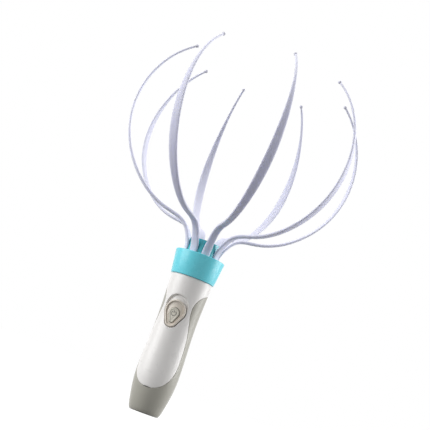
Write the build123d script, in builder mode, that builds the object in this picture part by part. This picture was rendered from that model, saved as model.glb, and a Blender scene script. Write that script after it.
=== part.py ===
from build123d import *
import math
import os

os.makedirs("parts", exist_ok=True)

# Electric scalp massager, in millimetres. +Z runs up the handle, the button faces -Y, and the
# origin is the centre of the flat end that the massager stands on.

# ---- Handle outline: radius, height and outward slope at each station ----
base_r = 10.2
heel_r, heel_z, heel_slope = 12.6, 4.0, 0.23
bulge_r, bulge_z = 16.0, 30.5
waist_r, waist_z = 14.8, 70.0
neck_r, neck_z, neck_slope = 15.95, 103.6, 0.03
wall = 2.0
shoulder = 2.4            # solid height under the spigot, where the wall turns in

# ---- Spigot that carries the collar ----
spigot_step = 1.05        # how far the spigot stands in from the handle's surface
spigot_height = 3.5
spigot_wall = 1.6
snap_height = 1.2
snap_depth = 0.3

# ---- Seam between the front and rear shells, seen from the side ----
# (share of the handle's radius, + towards the back; height)
seam_stations = [
    (1.12, 101.2), (0.24, 95.4), (-0.50, 89.9), (-0.67, 82.3), (-0.56, 71.0),
    (-0.37, 58.0), (-0.335, 46.5), (-0.40, 34.8), (-0.62, 26.2), (-0.86, 20.8), (-1.12, 16.8),
]
seam_steps = 20           # points that carry the seam's shape over to the shells' edges
seam_gap = 0.12
seam_edge = 0.2           # rounding along the seam and round the door
lip_reach = 1.2
lip_thickness = 0.8

# ---- Clearances ----
fit = 0.05                # seats and pressed-in pieces
running = 0.05            # radial clearance of a turning or rocking pin
clear = 0.3               # between a moving piece and what it passes

# ---- Button: each outline is the hull of a wide circle above a narrow one ----
pocket_top_r, pocket_top_z = 8.45, 80.6
pocket_point_r, pocket_point_z = 5.3, 69.25
pocket_depth, pocket_edge = 1.5, 0.5
bezel_top_r, bezel_top_z = 8.0, 76.8
bezel_point_r, bezel_point_z = 4.75, 69.25
bezel_proud = 0.1
bezel_rim = 1.15
bezel_dish = 1.15
bezel_thickness = 2.4
bezel_flange = 1.1
bezel_flange_thickness = 0.8
bezel_edge = 0.4
seat_margin = 1.6
button_top_r, button_top_z = 3.95, 75.0
button_point_r, button_point_z = 1.8, 69.5
button_inset = 0.4        # how far its face lies below the handle's surface
button_edge = 0.45
button_flange = 0.9
button_flange_thickness = 0.7
button_travel = 0.6
button_stem_r = 1.9

# ---- Switch and its board ----
board_width, board_height, board_thickness = 15.0, 25.0, 1.0
board_z = 64.2            # lower edge of the board
board_face_y = -7.5
stake_inset, stake_lift = 0.9, 1.8
stake_post_r, stake_pin_r = 1.2, 0.6
stake_head = 0.4
switch_side, switch_height = 6.0, 2.0
switch_pin_r, switch_pin_edge = 1.7, 0.2
switch_pin_proud, switch_pin_length = 0.9, 2.1
switch_leg_reach, switch_leg_width, switch_leg_thickness = 1.2, 0.7, 0.2

# ---- Batteries (AAA) and their tray ----
cell_r, cell_length = 5.25, 44.5
cell_nub_r, cell_nub_height = 1.9, 0.8
cell_gap = 0.4
cell_y = 4.2
cell_z = 17.0             # lower end of the cells
cell_slack = 0.2
tray_wall = 1.0
tray_end = 1.4
tray_end_rise, tray_end_half = 2.2, 9.4
ridge_y, ridge_half = 2.0, 1.5
contact_room = 1.6
contact_thickness = 0.4
contact_r = 3.9
contact_bump_r = 1.5
contact_strip = 4.2
tab_width, tab_height = 2.4, 3.2
spring_wire_r = 0.25
spring_turns = 2.5
spring_big_r, spring_small_r = 3.4, 1.9
bulkhead_thickness = 2.0
bulkhead_heights = (21.0, 57.5)
housing_screw_heights = (28.5, 51.0)
screw_seat_y = -1.5
post_stand = 3.0          # screw posts, in front of the cells

# ---- Battery door: tips open about the hooks at its lower edge ----
door_z = 14.0
door_length = 49.0
door_half_width = 11.0
door_corner = 2.5
door_thickness = 1.6
door_ledge = 1.3
ledge_thickness = 0.8
hook_width, hook_offset = 4.0, 3.5
hook_drop, hook_lift, hook_thickness = 2.2, 1.2, 1.0
latch_width, latch_length, latch_slit = 8.0, 7.0, 0.6
latch_nose, latch_notch = 6.0, 10.0
grip_count, grip_pitch, grip_height = 3, 1.6, 0.3

# ---- Collar ----
collar_gap = 0.35         # shadow line between handle and collar
collar_bottom_r, collar_top_r = 16.82, 19.09
collar_height = 18.15
collar_rim = 1.7
collar_edge = 0.45

# ---- Hub and the ring that keeps the claws in it ----
hub_r = 15.6
retainer_thickness = 4.0
hub_base = 4.0
crown_foot_r, crown_top_r = 13.4, 11.8
crown_height = 18.3       # above the hub's base
crown_top_thickness = 2.2
crown_edge = 0.6
motor_room_r = 8.5

# ---- Claws ----
claw_count = 8
claw_start = 30.3         # degrees from the front, towards +X
claw_ring_r = 12.6
foot_bead_r, foot_bead_width = 2.4, 5.8
foot_width = 5.6
foot_thickness = 2.6
claw_swing = 10.0         # degrees that a claw rocks outwards
neck_lift = 12.9          # straight root above the foot bead
root_spans = 4            # points that hold the root straight
# Blade centreline: (distance out from the root, height above the foot bead)
blade_points = [
    (1.8, 19.7), (9.65, 30.9), (25.15, 35.5), (52.0, 49.5),
    (72.95, 77.45), (78.85, 113.1), (67.95, 145.9), (52.95, 162.3),
]
# Blade section: (share of the length, width, thickness)
blade_sections = [
    (0.0, foot_width, foot_thickness), (0.03, foot_width, foot_thickness),
    (0.06, foot_width, foot_thickness), (0.14, 4.9, 2.6), (0.26, 4.9, 2.5), (0.36, 5.7, 2.3),
    (0.45, 6.6, 2.0), (0.54, 7.0, 1.9), (0.62, 6.5, 1.8), (0.71, 5.1, 1.75), (0.80, 3.4, 1.7),
    (0.88, 2.1, 1.6), (1.0, 1.6, 1.5),
]
# Each blade's own set about its neck, in degrees: (outwards, sideways, twist)
blade_sets = [
    (0.8, -0.9, 0.9), (0.1, -2.7, 1.0), (0.9, -1.8, 0.2), (-0.4, -0.8, -0.3),
    (0.0, -0.4, -0.1), (0.0, -6.2, 1.1), (-2.4, -2.2, -12.2), (-0.1, -2.7, 0.4),
]
tip_r, tip_lift = 1.35, 0.9
tip_pin_r, tip_pin_length = 0.5, 1.5
slot_r = 11.0             # bottom of the grooves that the claws stand in
groove_width = 7.0

# ---- Motor ----
motor_r, motor_flat = 7.75, 6.0
motor_length = 20.0
motor_gap = 3.0           # between the can and the retainer
motor_wall = 0.8
motor_nose_r, motor_nose_length = 3.0, 1.6
motor_cap_thickness = 2.0
shaft_r, shaft_chamfer = 1.0, 0.2
shaft_overhang = 12.0
shaft_tail = 1.2
rotor_r, rotor_length, rotor_lift = 4.6, 11.0, 5.5
rotor_poles, rotor_slot = 3, 0.9
commutator_r, commutator_length = 1.9, 2.0
magnet_thickness, magnet_width, magnet_length = 1.8, 8.0, 13.0
weight_r, weight_thickness, weight_hub_r = 6.2, 6.0, 2.2
weight_setback = 0.6
cradle_height = 9.8
cradle_wall = 1.4
terminal_x = 4.5
terminal_width, terminal_thickness, terminal_height = 2.0, 0.4, 3.0

# ---- Screws ----
screw_r, screw_head_r, screw_head_height = 1.1, 2.0, 1.4
screw_length = 8.0
screw_cross, screw_slot = 3.3, 0.5
boss_r = 3.1
retainer_screw_r = 1.0
retainer_screw_head_r, retainer_screw_head_height = 1.7, 1.2
retainer_screw_cross = 2.4
retainer_screw_length = 6.0
retainer_pilot_depth = 3.5
retainer_screw_count = 4
retainer_screw_ring_r = 13.3

# ---- Leads ----
lead_r = 0.55
lead_bend_r = 2.2
battery_lead_rise = 6.2   # from the contacts' tabs up to where the lead runs level
motor_lead_drop = 4.6     # from the motor's tags down to where the lead runs level

# ---- Heights that follow from the sizes above ----
stations = [
    (heel_r, heel_z, heel_slope), (bulge_r, bulge_z, 0.0),
    (waist_r, waist_z, 0.0), (neck_r, neck_z, neck_slope),
]
spigot_r = neck_r - spigot_step
spigot_top = neck_z + spigot_height
pivot_z = spigot_top + retainer_thickness
hub_top = pivot_z + hub_base
crown_z = hub_top + crown_height
collar_z = neck_z + collar_gap
collar_top = collar_z + collar_height
cell_x = cell_r + cell_gap / 2
cell_top = cell_z + cell_length
channel_r = cell_r + cell_slack
tray_r = channel_r + tray_wall
tray_z = cell_z - contact_room
tray_top = cell_top + contact_room
post_front_y = cell_y - cell_r - post_stand
motor_top = spigot_top - motor_gap
motor_z = motor_top - motor_length
shaft_top = motor_top + shaft_overhang
battery_lead_z = tray_top + tab_height + battery_lead_rise
motor_lead_z = motor_z - terminal_height - motor_lead_drop
reach = 2 * bulge_r       # past the handle's surface on every side
sides = (-1, 1)


def radius_at(z):
    """Radius of the handle's surface at a height."""
    for (r0, z0, slope0), (r1, z1, slope1) in zip(stations, stations[1:]):
        if z <= z1:
            break
    span = z1 - z0
    t = max(0.0, (z - z0) / span)
    ease = t * t * (3 - 2 * t)
    bow = slope0 * t * (1 - t) ** 2 - slope1 * t * t * (1 - t)
    return r0 + (r1 - r0) * ease + bow * span


def handle_form(inset=0.0, top=neck_z):
    """The handle's surface moved inwards by inset, as a solid of revolution."""
    with BuildPart() as form:
        with BuildSketch(Plane.XZ):
            with BuildLine():
                Polyline((0, neck_z), (0, inset), (base_r - inset, inset))
                corner = heel_r - heel_slope * (heel_z - inset) - inset
                Bezier((base_r - inset, inset), (corner, inset), (heel_r - inset, heel_z))
                for (r0, z0, slope0), (r1, z1, slope1) in zip(stations, stations[1:]):
                    third = (z1 - z0) / 3
                    Bezier(
                        (r0 - inset, z0), (r0 - inset + slope0 * third, z0 + third),
                        (r1 - inset - slope1 * third, z1 - third), (r1 - inset, z1),
                    )
                Line((neck_r - inset, neck_z), (0, neck_z))
            make_face()
        revolve(axis=Axis.Z)
        if top < neck_z:
            split(bisect_by=Plane.XY.offset(top), keep=Keep.BOTTOM)
    return form.part


def skin(outer_inset, inner_inset):
    """The layer of the handle between two depths below its surface."""
    return handle_form(outer_inset) - handle_form(inner_inset)


def surface_edges(piece):
    """Edges of a piece that lie on the handle's outer surface."""
    def depth(point):
        return abs(radius_at(point.Z) - math.hypot(point.X, point.Y))

    places = (0.0, 0.3, 0.7, 1.0)
    return [edge for edge in piece.edges() if all(depth(edge @ t) < fit / 5 for t in places)]


front_plane = Plane.XZ.offset(reach)


def teardrop(top_r, top_z, point_r, point_z, grow=0.0):
    """The button's outline on the front plane: a wide circle hulled with a narrow one below it."""
    with BuildSketch(front_plane) as outline:
        with Locations((0, top_z)):
            Circle(top_r + grow)
        with Locations((0, point_z)):
            Circle(point_r + grow)
        make_hull()
    return outline.sketch


def pocket_outline(grow=0.0):
    return teardrop(pocket_top_r, pocket_top_z, pocket_point_r, pocket_point_z, grow)


def bezel_outline(grow=0.0):
    return teardrop(bezel_top_r, bezel_top_z, bezel_point_r, bezel_point_z, grow)


def button_outline(grow=0.0):
    return teardrop(button_top_r, button_top_z, button_point_r, button_point_z, grow)


# ---- The hollow handle before it is parted ----
with BuildPart() as handle_blank:
    add(handle_form())
    with BuildSketch(Plane.XY.offset(neck_z)):
        Circle(spigot_r)
    extrude(amount=spigot_height)
    with BuildSketch(Plane.XZ):
        with BuildLine():
            snap_z = neck_z + spigot_height / 2
            Polyline(
                (spigot_r - snap_depth, snap_z - snap_height / 2), (spigot_r + snap_depth, snap_z),
                (spigot_r - snap_depth, snap_z + snap_height / 2), close=True,
            )
        make_face()
    revolve(axis=Axis.Z)
    add(handle_form(wall, neck_z - shoulder), mode=Mode.SUBTRACT)
    with BuildSketch(Plane.XY.offset(neck_z - shoulder)):
        Circle(spigot_r - spigot_wall)
    extrude(amount=shoulder + spigot_height, mode=Mode.SUBTRACT)


# ---- Side view of the rear shell, with its seam moved forwards by a given amount ----
def rear_side(forward=0.0):
    with BuildSketch(Plane.YZ) as side_view:
        with BuildLine():
            seam = Spline(*[(share * radius_at(z), z) for share, z in seam_stations], mode=Mode.PRIVATE)
            places = [n / seam_steps for n in range(seam_steps + 1)]
            edge = Spline(*[seam @ t + Vector((seam % t).Y, -(seam % t).X) * forward for t in places])
            Polyline(
                edge @ 1, (-reach, (edge @ 1).Y), (-reach, -reach),
                (reach, -reach), (reach, (edge @ 0).Y), edge @ 0,
            )
        make_face()
    return side_view.sketch


# ---- Door region, seen from the side: it swings on an arc about the hooks ----
door_pivot_y = radius_at(door_z)


def door_block(gap=0.0):
    """The door's outline carried through the back wall, larger by a gap all round."""
    with BuildPart() as block:
        with BuildSketch(Plane.YZ):
            with Locations((door_pivot_y, door_z)):
                Circle(door_length + gap)
            with Locations((cell_y, door_z - gap)):
                Rectangle(reach, 2 * door_length, align=(Align.MIN, Align.MIN), mode=Mode.INTERSECT)
        extrude(amount=door_half_width + gap, both=True)
        fillet(block.edges().filter_by(Axis.Y), radius=door_corner + gap)
    return block.part


# ---- Tools shared by the shells and the button ----
pocket_form = handle_form(pocket_depth)
with BuildPart() as button_pocket:
    extrude(pocket_outline(), amount=-reach)
    add(pocket_form, mode=Mode.SUBTRACT)

seat_skin = skin(wall / 2, bezel_thickness)
with BuildPart() as button_seat:
    extrude(pocket_outline(seat_margin), amount=-reach)
    add(seat_skin, mode=Mode.INTERSECT)


# ---- Front shell: white, a full ring at the neck, button seat, board posts, screw bosses ----
inner_wall = handle_form(wall / 2)
board_top = board_z + board_height
stake_x = board_width / 2 - stake_inset
stake_places = [
    (0, board_top - stake_lift), (-stake_x, board_z + stake_lift), (stake_x, board_z + stake_lift),
]
with BuildPart() as board_posts:
    with BuildSketch(Plane.XZ.offset(-board_face_y)):
        with Locations(*stake_places):
            Circle(stake_post_r)
    extrude(amount=reach)
    add(inner_wall, mode=Mode.INTERSECT)
    with BuildSketch(Plane.XZ.offset(-board_face_y)):
        with Locations(*stake_places):
            Circle(stake_pin_r)
    extrude(amount=-board_thickness - stake_head)

housing_screw_places = [(0, z) for z in housing_screw_heights]
with BuildPart() as screw_bosses:
    with BuildSketch(Plane.XZ.offset(-post_front_y)):
        with Locations(*housing_screw_places):
            Circle(boss_r)
    extrude(amount=reach)
    add(inner_wall, mode=Mode.INTERSECT)
    with BuildSketch(Plane.XZ.offset(-post_front_y)):
        with Locations(*housing_screw_places):
            Circle(screw_r)
    extrude(amount=screw_length, mode=Mode.SUBTRACT)

with BuildPart() as front_shell:
    add(handle_blank.part)
    add(button_seat.part)
    extrude(rear_side(seam_gap), amount=reach, both=True, mode=Mode.SUBTRACT)
    add(button_pocket.part, mode=Mode.SUBTRACT)
    rims = [edge for edge in surface_edges(front_shell) if edge.geom_type != GeomType.CIRCLE]
    mouth = [edge for edge in rims if abs(edge.center().X) < pocket_top_r and edge.center().Y < -cell_y]
    fillet(mouth, radius=pocket_edge)
    fillet([edge for edge in rims if edge not in mouth], radius=seam_edge)
    extrude(bezel_outline(fit), amount=-reach, mode=Mode.SUBTRACT)
    add(board_posts.part)
    add(screw_bosses.part)
front_shell.part.label = "front_shell"
export_step(front_shell.part, "parts/front_shell.step")

# ---- Rear shell: grey, the back and the whole lower end, with the battery opening ----
lip_skin = skin(wall, wall + lip_thickness)
with BuildPart() as seam_lip:
    add(lip_skin)
    extrude(rear_side(lip_reach), amount=reach, both=True, mode=Mode.INTERSECT)
    extrude(rear_side(-lip_reach), amount=reach, both=True, mode=Mode.SUBTRACT)
    extrude(pocket_outline(seat_margin + clear), amount=-reach, mode=Mode.SUBTRACT)
    with BuildSketch(front_plane):
        with Locations(*stake_places):
            Circle(stake_post_r + clear)
    extrude(amount=-reach, mode=Mode.SUBTRACT)
    split(bisect_by=Plane.XY.offset(neck_z - shoulder - fit), keep=Keep.BOTTOM)

ledge_skin = skin(door_thickness + clear, door_thickness + clear + ledge_thickness)
door_opening = door_block(clear)
door_frame = door_block(clear + door_ledge)
door_inside = door_block(-door_ledge)
with BuildPart() as ledges:
    add(ledge_skin)
    add(door_frame, mode=Mode.INTERSECT)
    add(door_inside, mode=Mode.SUBTRACT)
    with Locations((0, 0, door_z + door_length + clear)):
        Box(latch_notch, 2 * reach, 4 * door_ledge, mode=Mode.SUBTRACT)
    with Locations((0, 0, door_z)):
        Box(2 * reach, 2 * reach, 2 * (door_corner + clear), mode=Mode.SUBTRACT)

with BuildPart() as bulkheads:
    for height in bulkhead_heights:
        with BuildSketch(Plane.XY.offset(height)):
            with Locations((0, cell_y)):
                Rectangle(2 * reach, reach, align=(Align.CENTER, Align.MAX))
            with Locations((-cell_x, cell_y), (cell_x, cell_y)):
                Circle(tray_r + fit, mode=Mode.SUBTRACT)
            Rectangle(2 * cell_x, 2 * reach, mode=Mode.SUBTRACT)
        extrude(amount=bulkhead_thickness)
    add(inner_wall, mode=Mode.INTERSECT)
    extrude(rear_side(), amount=reach, both=True, mode=Mode.INTERSECT)

with BuildPart() as rear_shell:
    add(handle_blank.part)
    extrude(rear_side(), amount=reach, both=True, mode=Mode.INTERSECT)
    fillet(surface_edges(rear_shell), radius=seam_edge)
    add(seam_lip.part)
    add(bulkheads.part)
    add(door_opening, mode=Mode.SUBTRACT)
    add(ledges.part)
rear_shell.part.label = "rear_shell"
export_step(rear_shell.part, "parts/rear_shell.step")

# ---- Battery door: curved panel with two hooks below and a springy latch above ----
door_skin = skin(0.0, door_thickness)
door_outline = door_block()
hook_depth = wall + clear
hook_skin = skin(hook_depth, hook_depth + hook_thickness)
web_skin = skin(door_thickness / 2, hook_depth + hook_thickness)
nose_skin = skin(door_thickness / 2, door_thickness + ledge_thickness)
grip_skin = skin(-grip_height, door_thickness / 2)
with BuildPart() as door_hooks:
    with Locations((-hook_offset, 0, door_z - hook_drop), (hook_offset, 0, door_z - hook_drop)):
        Box(hook_width, reach, hook_drop + hook_lift, align=(Align.CENTER, Align.MIN, Align.MIN))
    add(hook_skin, mode=Mode.INTERSECT)
with BuildPart() as door_webs:
    with Locations((-hook_offset, 0, door_z), (hook_offset, 0, door_z)):
        Box(hook_width, reach, hook_lift, align=(Align.CENTER, Align.MIN, Align.MIN))
    add(web_skin, mode=Mode.INTERSECT)
with BuildPart() as door_nose:
    with Locations((0, 0, door_z + door_length)):
        Box(latch_nose, reach, 2 * door_ledge, align=(Align.CENTER, Align.MIN, Align.CENTER))
    add(nose_skin, mode=Mode.INTERSECT)
    add(door_outline, mode=Mode.INTERSECT)
with BuildPart() as door_grips:
    grip_width = latch_width - 2 * latch_slit
    with BuildSketch(Plane.XZ):
        with Locations((0, door_z + door_length - latch_length / 2)):
            with GridLocations(0, grip_pitch, 1, grip_count):
                Rectangle(grip_width, grip_pitch / 2)
    extrude(amount=-reach)
    add(grip_skin, mode=Mode.INTERSECT)
with BuildPart() as battery_door:
    add(door_skin)
    add(door_outline, mode=Mode.INTERSECT)
    for side in sides:
        with Locations((side * (latch_width + latch_slit) / 2, 0, door_z + door_length)):
            Box(latch_slit, 2 * reach, 2 * latch_length, mode=Mode.SUBTRACT)
    fillet(surface_edges(battery_door), radius=seam_edge)
    add(door_grips.part)
    add(door_webs.part)
    add(door_hooks.part)
    add(door_nose.part)
battery_door.part.label = "battery_door"
export_step(battery_door.part, "parts/battery_door.step")

# ---- Button bezel: dished teardrop with a raised rim, flanged behind its seat ----
bezel_skin = skin(-bezel_proud, bezel_thickness)
bezel_back = bezel_thickness + bezel_flange_thickness
flange_skin = skin(bezel_thickness, bezel_back)
dish_form = handle_form(bezel_dish)
with BuildPart() as bezel_dish_cut:
    extrude(bezel_outline(-bezel_rim), amount=-reach)
    add(dish_form, mode=Mode.SUBTRACT)
with BuildPart() as bezel_flange_ring:
    extrude(bezel_outline(bezel_flange), amount=-reach)
    add(flange_skin, mode=Mode.INTERSECT)
with BuildPart() as button_bezel:
    extrude(bezel_outline(), amount=-reach)
    add(bezel_skin, mode=Mode.INTERSECT)
    add(bezel_flange_ring.part)
    add(bezel_dish_cut.part, mode=Mode.SUBTRACT)
    fillet(button_bezel.faces().sort_by(Axis.Y)[0].edges(), radius=bezel_edge)
    extrude(button_outline(clear), amount=-reach, mode=Mode.SUBTRACT)
button_bezel.part.label = "button_bezel"
export_step(button_bezel.part, "parts/button_bezel.step")

# ---- Power button: island in the bezel, with a flange and a stem behind ----
pin_tip_y = board_face_y - switch_height - switch_pin_proud
button_catch = bezel_back + clear
button_back = button_catch + button_flange_thickness
button_skin = skin(button_inset, button_back)
catch_skin = skin(button_catch, button_back)
with BuildPart() as button_catch_plate:
    extrude(button_outline(button_flange), amount=-reach)
    add(catch_skin, mode=Mode.INTERSECT)
with BuildPart() as power_button:
    extrude(button_outline(), amount=-reach)
    add(button_skin, mode=Mode.INTERSECT)
    fillet(power_button.faces().sort_by(Axis.Y)[0].edges(), radius=button_edge)
    add(button_catch_plate.part)
    with BuildSketch(Plane.XZ.offset(-pin_tip_y)):
        with Locations((0, button_top_z)):
            Circle(button_stem_r)
    extrude(amount=button_flange_thickness)
power_button.part.label = "power_button"
export_step(power_button.part, "parts/power_button.step")

# ---- Switch board, staked to the front shell ----
with BuildPart() as switch_board:
    with BuildSketch(Plane.XZ.offset(-board_face_y)):
        with Locations((0, board_z)):
            Rectangle(board_width, board_height, align=(Align.CENTER, Align.MIN))
        with Locations(*stake_places):
            Circle(stake_pin_r + fit, mode=Mode.SUBTRACT)
    extrude(amount=-board_thickness)
    fillet(switch_board.edges().filter_by(Axis.Y).group_by(Axis.X)[0], radius=stake_inset / 2)
    fillet(switch_board.edges().filter_by(Axis.Y).group_by(Axis.X)[-1], radius=stake_inset / 2)
switch_board.part.label = "switch_board"
export_step(switch_board.part, "parts/switch_board.step")

with BuildPart() as tact_switch:
    with BuildSketch(Plane.XZ.offset(-board_face_y)):
        with Locations((0, button_top_z)):
            RectangleRounded(switch_side, switch_side, switch_leg_width / 2)
    extrude(amount=switch_height)
    with BuildSketch(Plane.XZ.offset(-board_face_y)):
        with Locations((0, button_top_z)):
            with GridLocations(0, switch_side - 2 * switch_leg_width, 1, 2):
                Rectangle(switch_side + 2 * switch_leg_reach, switch_leg_width)
    extrude(amount=switch_leg_thickness)
    with BuildSketch(Plane.XZ.offset(-board_face_y + switch_height)):
        with Locations((0, button_top_z)):
            Circle(switch_pin_r + running)
    extrude(amount=-(switch_pin_length - switch_pin_proud + button_travel + running), mode=Mode.SUBTRACT)
tact_switch.part.label = "tact_switch"
export_step(tact_switch.part, "parts/tact_switch.step")

with BuildPart() as switch_pin:
    with BuildSketch(Plane.XZ.offset(-pin_tip_y)):
        with Locations((0, button_top_z)):
            Circle(switch_pin_r)
    extrude(amount=-switch_pin_length)
    fillet(switch_pin.edges().sort_by(Axis.Y)[0], radius=switch_pin_edge)
switch_pin.part.label = "switch_pin"
export_step(switch_pin.part, "parts/switch_pin.step")

# ---- Battery tray: two half-round channels with end walls and two screw posts ----
tray_limit = handle_form(wall + fit)
cell_places = [(-cell_x, cell_y), (cell_x, cell_y)]
tab_y = cell_y - contact_r + contact_thickness / 2
with BuildPart() as battery_tray:
    with BuildSketch(Plane.XY.offset(tray_z - tray_end)):
        with Locations(*cell_places):
            Circle(tray_r)
        make_hull()
        with Locations((0, cell_y)):
            Rectangle(2 * reach, reach, align=(Align.CENTER, Align.MIN), mode=Mode.SUBTRACT)
            Rectangle(2 * tray_end_half, tray_end_rise, align=(Align.CENTER, Align.MIN))
    extrude(amount=tray_top - tray_z + 2 * tray_end)
    with BuildSketch(Plane.XY.offset(tray_z)):
        with Locations(*cell_places):
            Circle(channel_r)
        with Locations((0, cell_y)):
            Rectangle(2 * reach, reach, align=(Align.CENTER, Align.MIN))
        with Locations((0, ridge_y)):
            Rectangle(2 * ridge_half, reach, align=(Align.CENTER, Align.MIN))
    extrude(amount=tray_top - tray_z, mode=Mode.SUBTRACT)
    with BuildSketch(Plane.XZ.offset(-screw_seat_y)):
        with Locations(*housing_screw_places):
            Circle(boss_r)
    extrude(amount=screw_seat_y - post_front_y)
    with BuildSketch(Plane.XZ.offset(-screw_seat_y)):
        with Locations(*housing_screw_places):
            Circle(screw_r + fit)
    extrude(amount=reach, mode=Mode.SUBTRACT)
    with BuildSketch(Plane.XZ.offset(-screw_seat_y)):
        with Locations(*housing_screw_places):
            Circle(screw_head_r + fit)
    extrude(amount=-reach, mode=Mode.SUBTRACT)
    with BuildSketch(Plane.XY.offset(tray_top)):
        with Locations((0, tab_y)):
            with GridLocations(2 * cell_x, 0, 2, 1):
                Rectangle(tab_width + 2 * clear, contact_thickness + clear)
    extrude(amount=tray_end, mode=Mode.SUBTRACT)
    add(tray_limit, mode=Mode.INTERSECT)
battery_tray.part.label = "battery_tray"
export_step(battery_tray.part, "parts/battery_tray.step")


def battery(x, nub_up):
    """An AAA cell standing at x, with its positive end up or down."""
    with BuildPart() as cell:
        body_z = cell_z if nub_up else cell_z + cell_nub_height
        with BuildSketch(Plane.XY.offset(body_z)):
            with Locations((x, cell_y)):
                Circle(cell_r)
        extrude(amount=cell_length - cell_nub_height)
        chamfer(cell.edges().filter_by(GeomType.CIRCLE), length=cell_nub_height / 2)
        with BuildSketch(Plane.XY.offset(cell_top - cell_nub_height if nub_up else cell_z)):
            with Locations((x, cell_y)):
                Circle(cell_nub_r)
        extrude(amount=cell_nub_height)
    return cell.part


for number, (x, nub_up) in enumerate([(-cell_x, True), (cell_x, False)], start=1):
    battery_part = battery(x, nub_up)
    battery_part.label = f"battery_{number}"
    export_step(battery_part, f"parts/battery_{number}.step")

# ---- Battery contacts: bumps meet the positive ends, springs meet the flat ones ----
with BuildPart() as contact_bridge:
    with BuildSketch(Plane.XY.offset(tray_z)):
        with Locations(*cell_places):
            Circle(contact_r)
        with Locations((0, cell_y)):
            Rectangle(2 * cell_x, contact_strip)
    extrude(amount=contact_thickness)
    with BuildSketch(Plane.XY.offset(tray_z)):
        with Locations((cell_x, cell_y)):
            Circle(contact_bump_r)
    extrude(amount=contact_room)
contact_bridge.part.label = "contact_bridge"
export_step(contact_bridge.part, "parts/contact_bridge.step")


def end_contact(x, bump):
    """The plate above one cell, with its solder tab and, over a positive end, its bump."""
    with BuildPart() as plate:
        with BuildSketch(Plane.XY.offset(tray_top)):
            with Locations((x, cell_y)):
                Circle(contact_r)
        extrude(amount=-contact_thickness)
        with BuildSketch(Plane.XY.offset(tray_top - contact_thickness)):
            with Locations((x, tab_y)):
                Rectangle(tab_width, contact_thickness)
        extrude(amount=contact_thickness + tab_height)
        if bump:
            with BuildSketch(Plane.XY.offset(tray_top)):
                with Locations((x, cell_y)):
                    Circle(contact_bump_r)
            extrude(amount=-contact_room)
    return plate.part


contact_positive = end_contact(-cell_x, True)
contact_positive.label = "contact_positive"
export_step(contact_positive, "parts/contact_positive.step")
contact_negative = end_contact(cell_x, False)
contact_negative.label = "contact_negative"
export_step(contact_negative, "parts/contact_negative.step")


def battery_spring(x, plate_z, up):
    """A flattened conical spring from a plate to the flat end of a cell."""
    room = contact_room - contact_thickness - 2 * spring_wire_r
    cone = math.degrees(math.atan2(spring_small_r - spring_big_r, room))
    with BuildPart() as coil:
        with BuildLine():
            path = Helix(
                pitch=room / spring_turns, height=room, radius=spring_big_r, cone_angle=cone,
                center=(x, cell_y, plate_z + up * spring_wire_r), direction=(0, 0, up),
            )
        with BuildSketch(Plane(origin=path @ 0, z_dir=path % 0)):
            Circle(spring_wire_r)
        sweep()
    return coil.part


battery_springs = Compound(children=[
    battery_spring(-cell_x, tray_z + contact_thickness, 1),
    battery_spring(cell_x, tray_top - contact_thickness, -1),
])
battery_springs.label = "battery_springs"
export_step(battery_springs, "parts/battery_springs.step")

# ---- Motor: a can with two flats, its end cap, magnets and solder tags ----


def motor_outline(z, inset=0.0):
    """The can's outline at a height: a circle cut by two flats."""
    with BuildSketch(Plane.XY.offset(z)) as outline:
        Circle(motor_r - inset)
        Rectangle(2 * motor_r, 2 * (motor_flat - inset), mode=Mode.INTERSECT)
    return outline.sketch


with BuildPart() as motor_can:
    extrude(motor_outline(motor_z), amount=motor_length)
    extrude(motor_outline(motor_z, motor_wall), amount=motor_length - motor_wall, mode=Mode.SUBTRACT)
    with BuildSketch(Plane.XY.offset(motor_top)):
        Circle(motor_nose_r)
    extrude(amount=motor_nose_length)
    with BuildSketch(Plane.XY.offset(motor_z)):
        Circle(shaft_r + running)
    extrude(amount=motor_length + motor_nose_length, mode=Mode.SUBTRACT)
motor_can.part.label = "motor_can"
export_step(motor_can.part, "parts/motor_can.step")

with BuildPart() as motor_end_cap:
    extrude(motor_outline(motor_z, motor_wall), amount=motor_cap_thickness)
    with BuildSketch(Plane.XY.offset(motor_z)):
        Circle(shaft_r + running)
    extrude(amount=motor_cap_thickness, mode=Mode.SUBTRACT)
motor_end_cap.part.label = "motor_end_cap"
export_step(motor_end_cap.part, "parts/motor_end_cap.step")

rotor_z = motor_z + rotor_lift
with BuildPart() as motor_magnets:
    with BuildSketch(Plane.XY.offset(rotor_z - (magnet_length - rotor_length) / 2)):
        Circle(motor_r - motor_wall)
        Circle(motor_r - motor_wall - magnet_thickness, mode=Mode.SUBTRACT)
        Rectangle(2 * motor_r, magnet_width, mode=Mode.INTERSECT)
    extrude(amount=magnet_length)
motor_magnets.part.label = "motor_magnets"
export_step(motor_magnets.part, "parts/motor_magnets.step")

with BuildPart() as motor_terminals:
    with BuildSketch(Plane.XY.offset(motor_z)):
        with GridLocations(2 * terminal_x, 0, 2, 1):
            Rectangle(terminal_width, terminal_thickness)
    extrude(amount=-terminal_height)
motor_terminals.part.label = "motor_terminals"
export_step(motor_terminals.part, "parts/motor_terminals.step")

# ---- What the motor turns: rotor, shaft and the weight that shakes the head ----
with BuildPart() as motor_rotor:
    with BuildSketch(Plane.XY.offset(rotor_z)):
        Circle(rotor_r)
        with PolarLocations(rotor_r, rotor_poles):
            Rectangle(rotor_r, rotor_slot, mode=Mode.SUBTRACT)
    extrude(amount=rotor_length)
    with BuildSketch(Plane.XY.offset(rotor_z - commutator_length)):
        Circle(commutator_r)
    extrude(amount=commutator_length)
    with BuildSketch(Plane.XY.offset(rotor_z - commutator_length)):
        Circle(shaft_r)
    extrude(amount=rotor_length + commutator_length, mode=Mode.SUBTRACT)
motor_rotor.part.label = "motor_rotor"
export_step(motor_rotor.part, "parts/motor_rotor.step")

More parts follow.
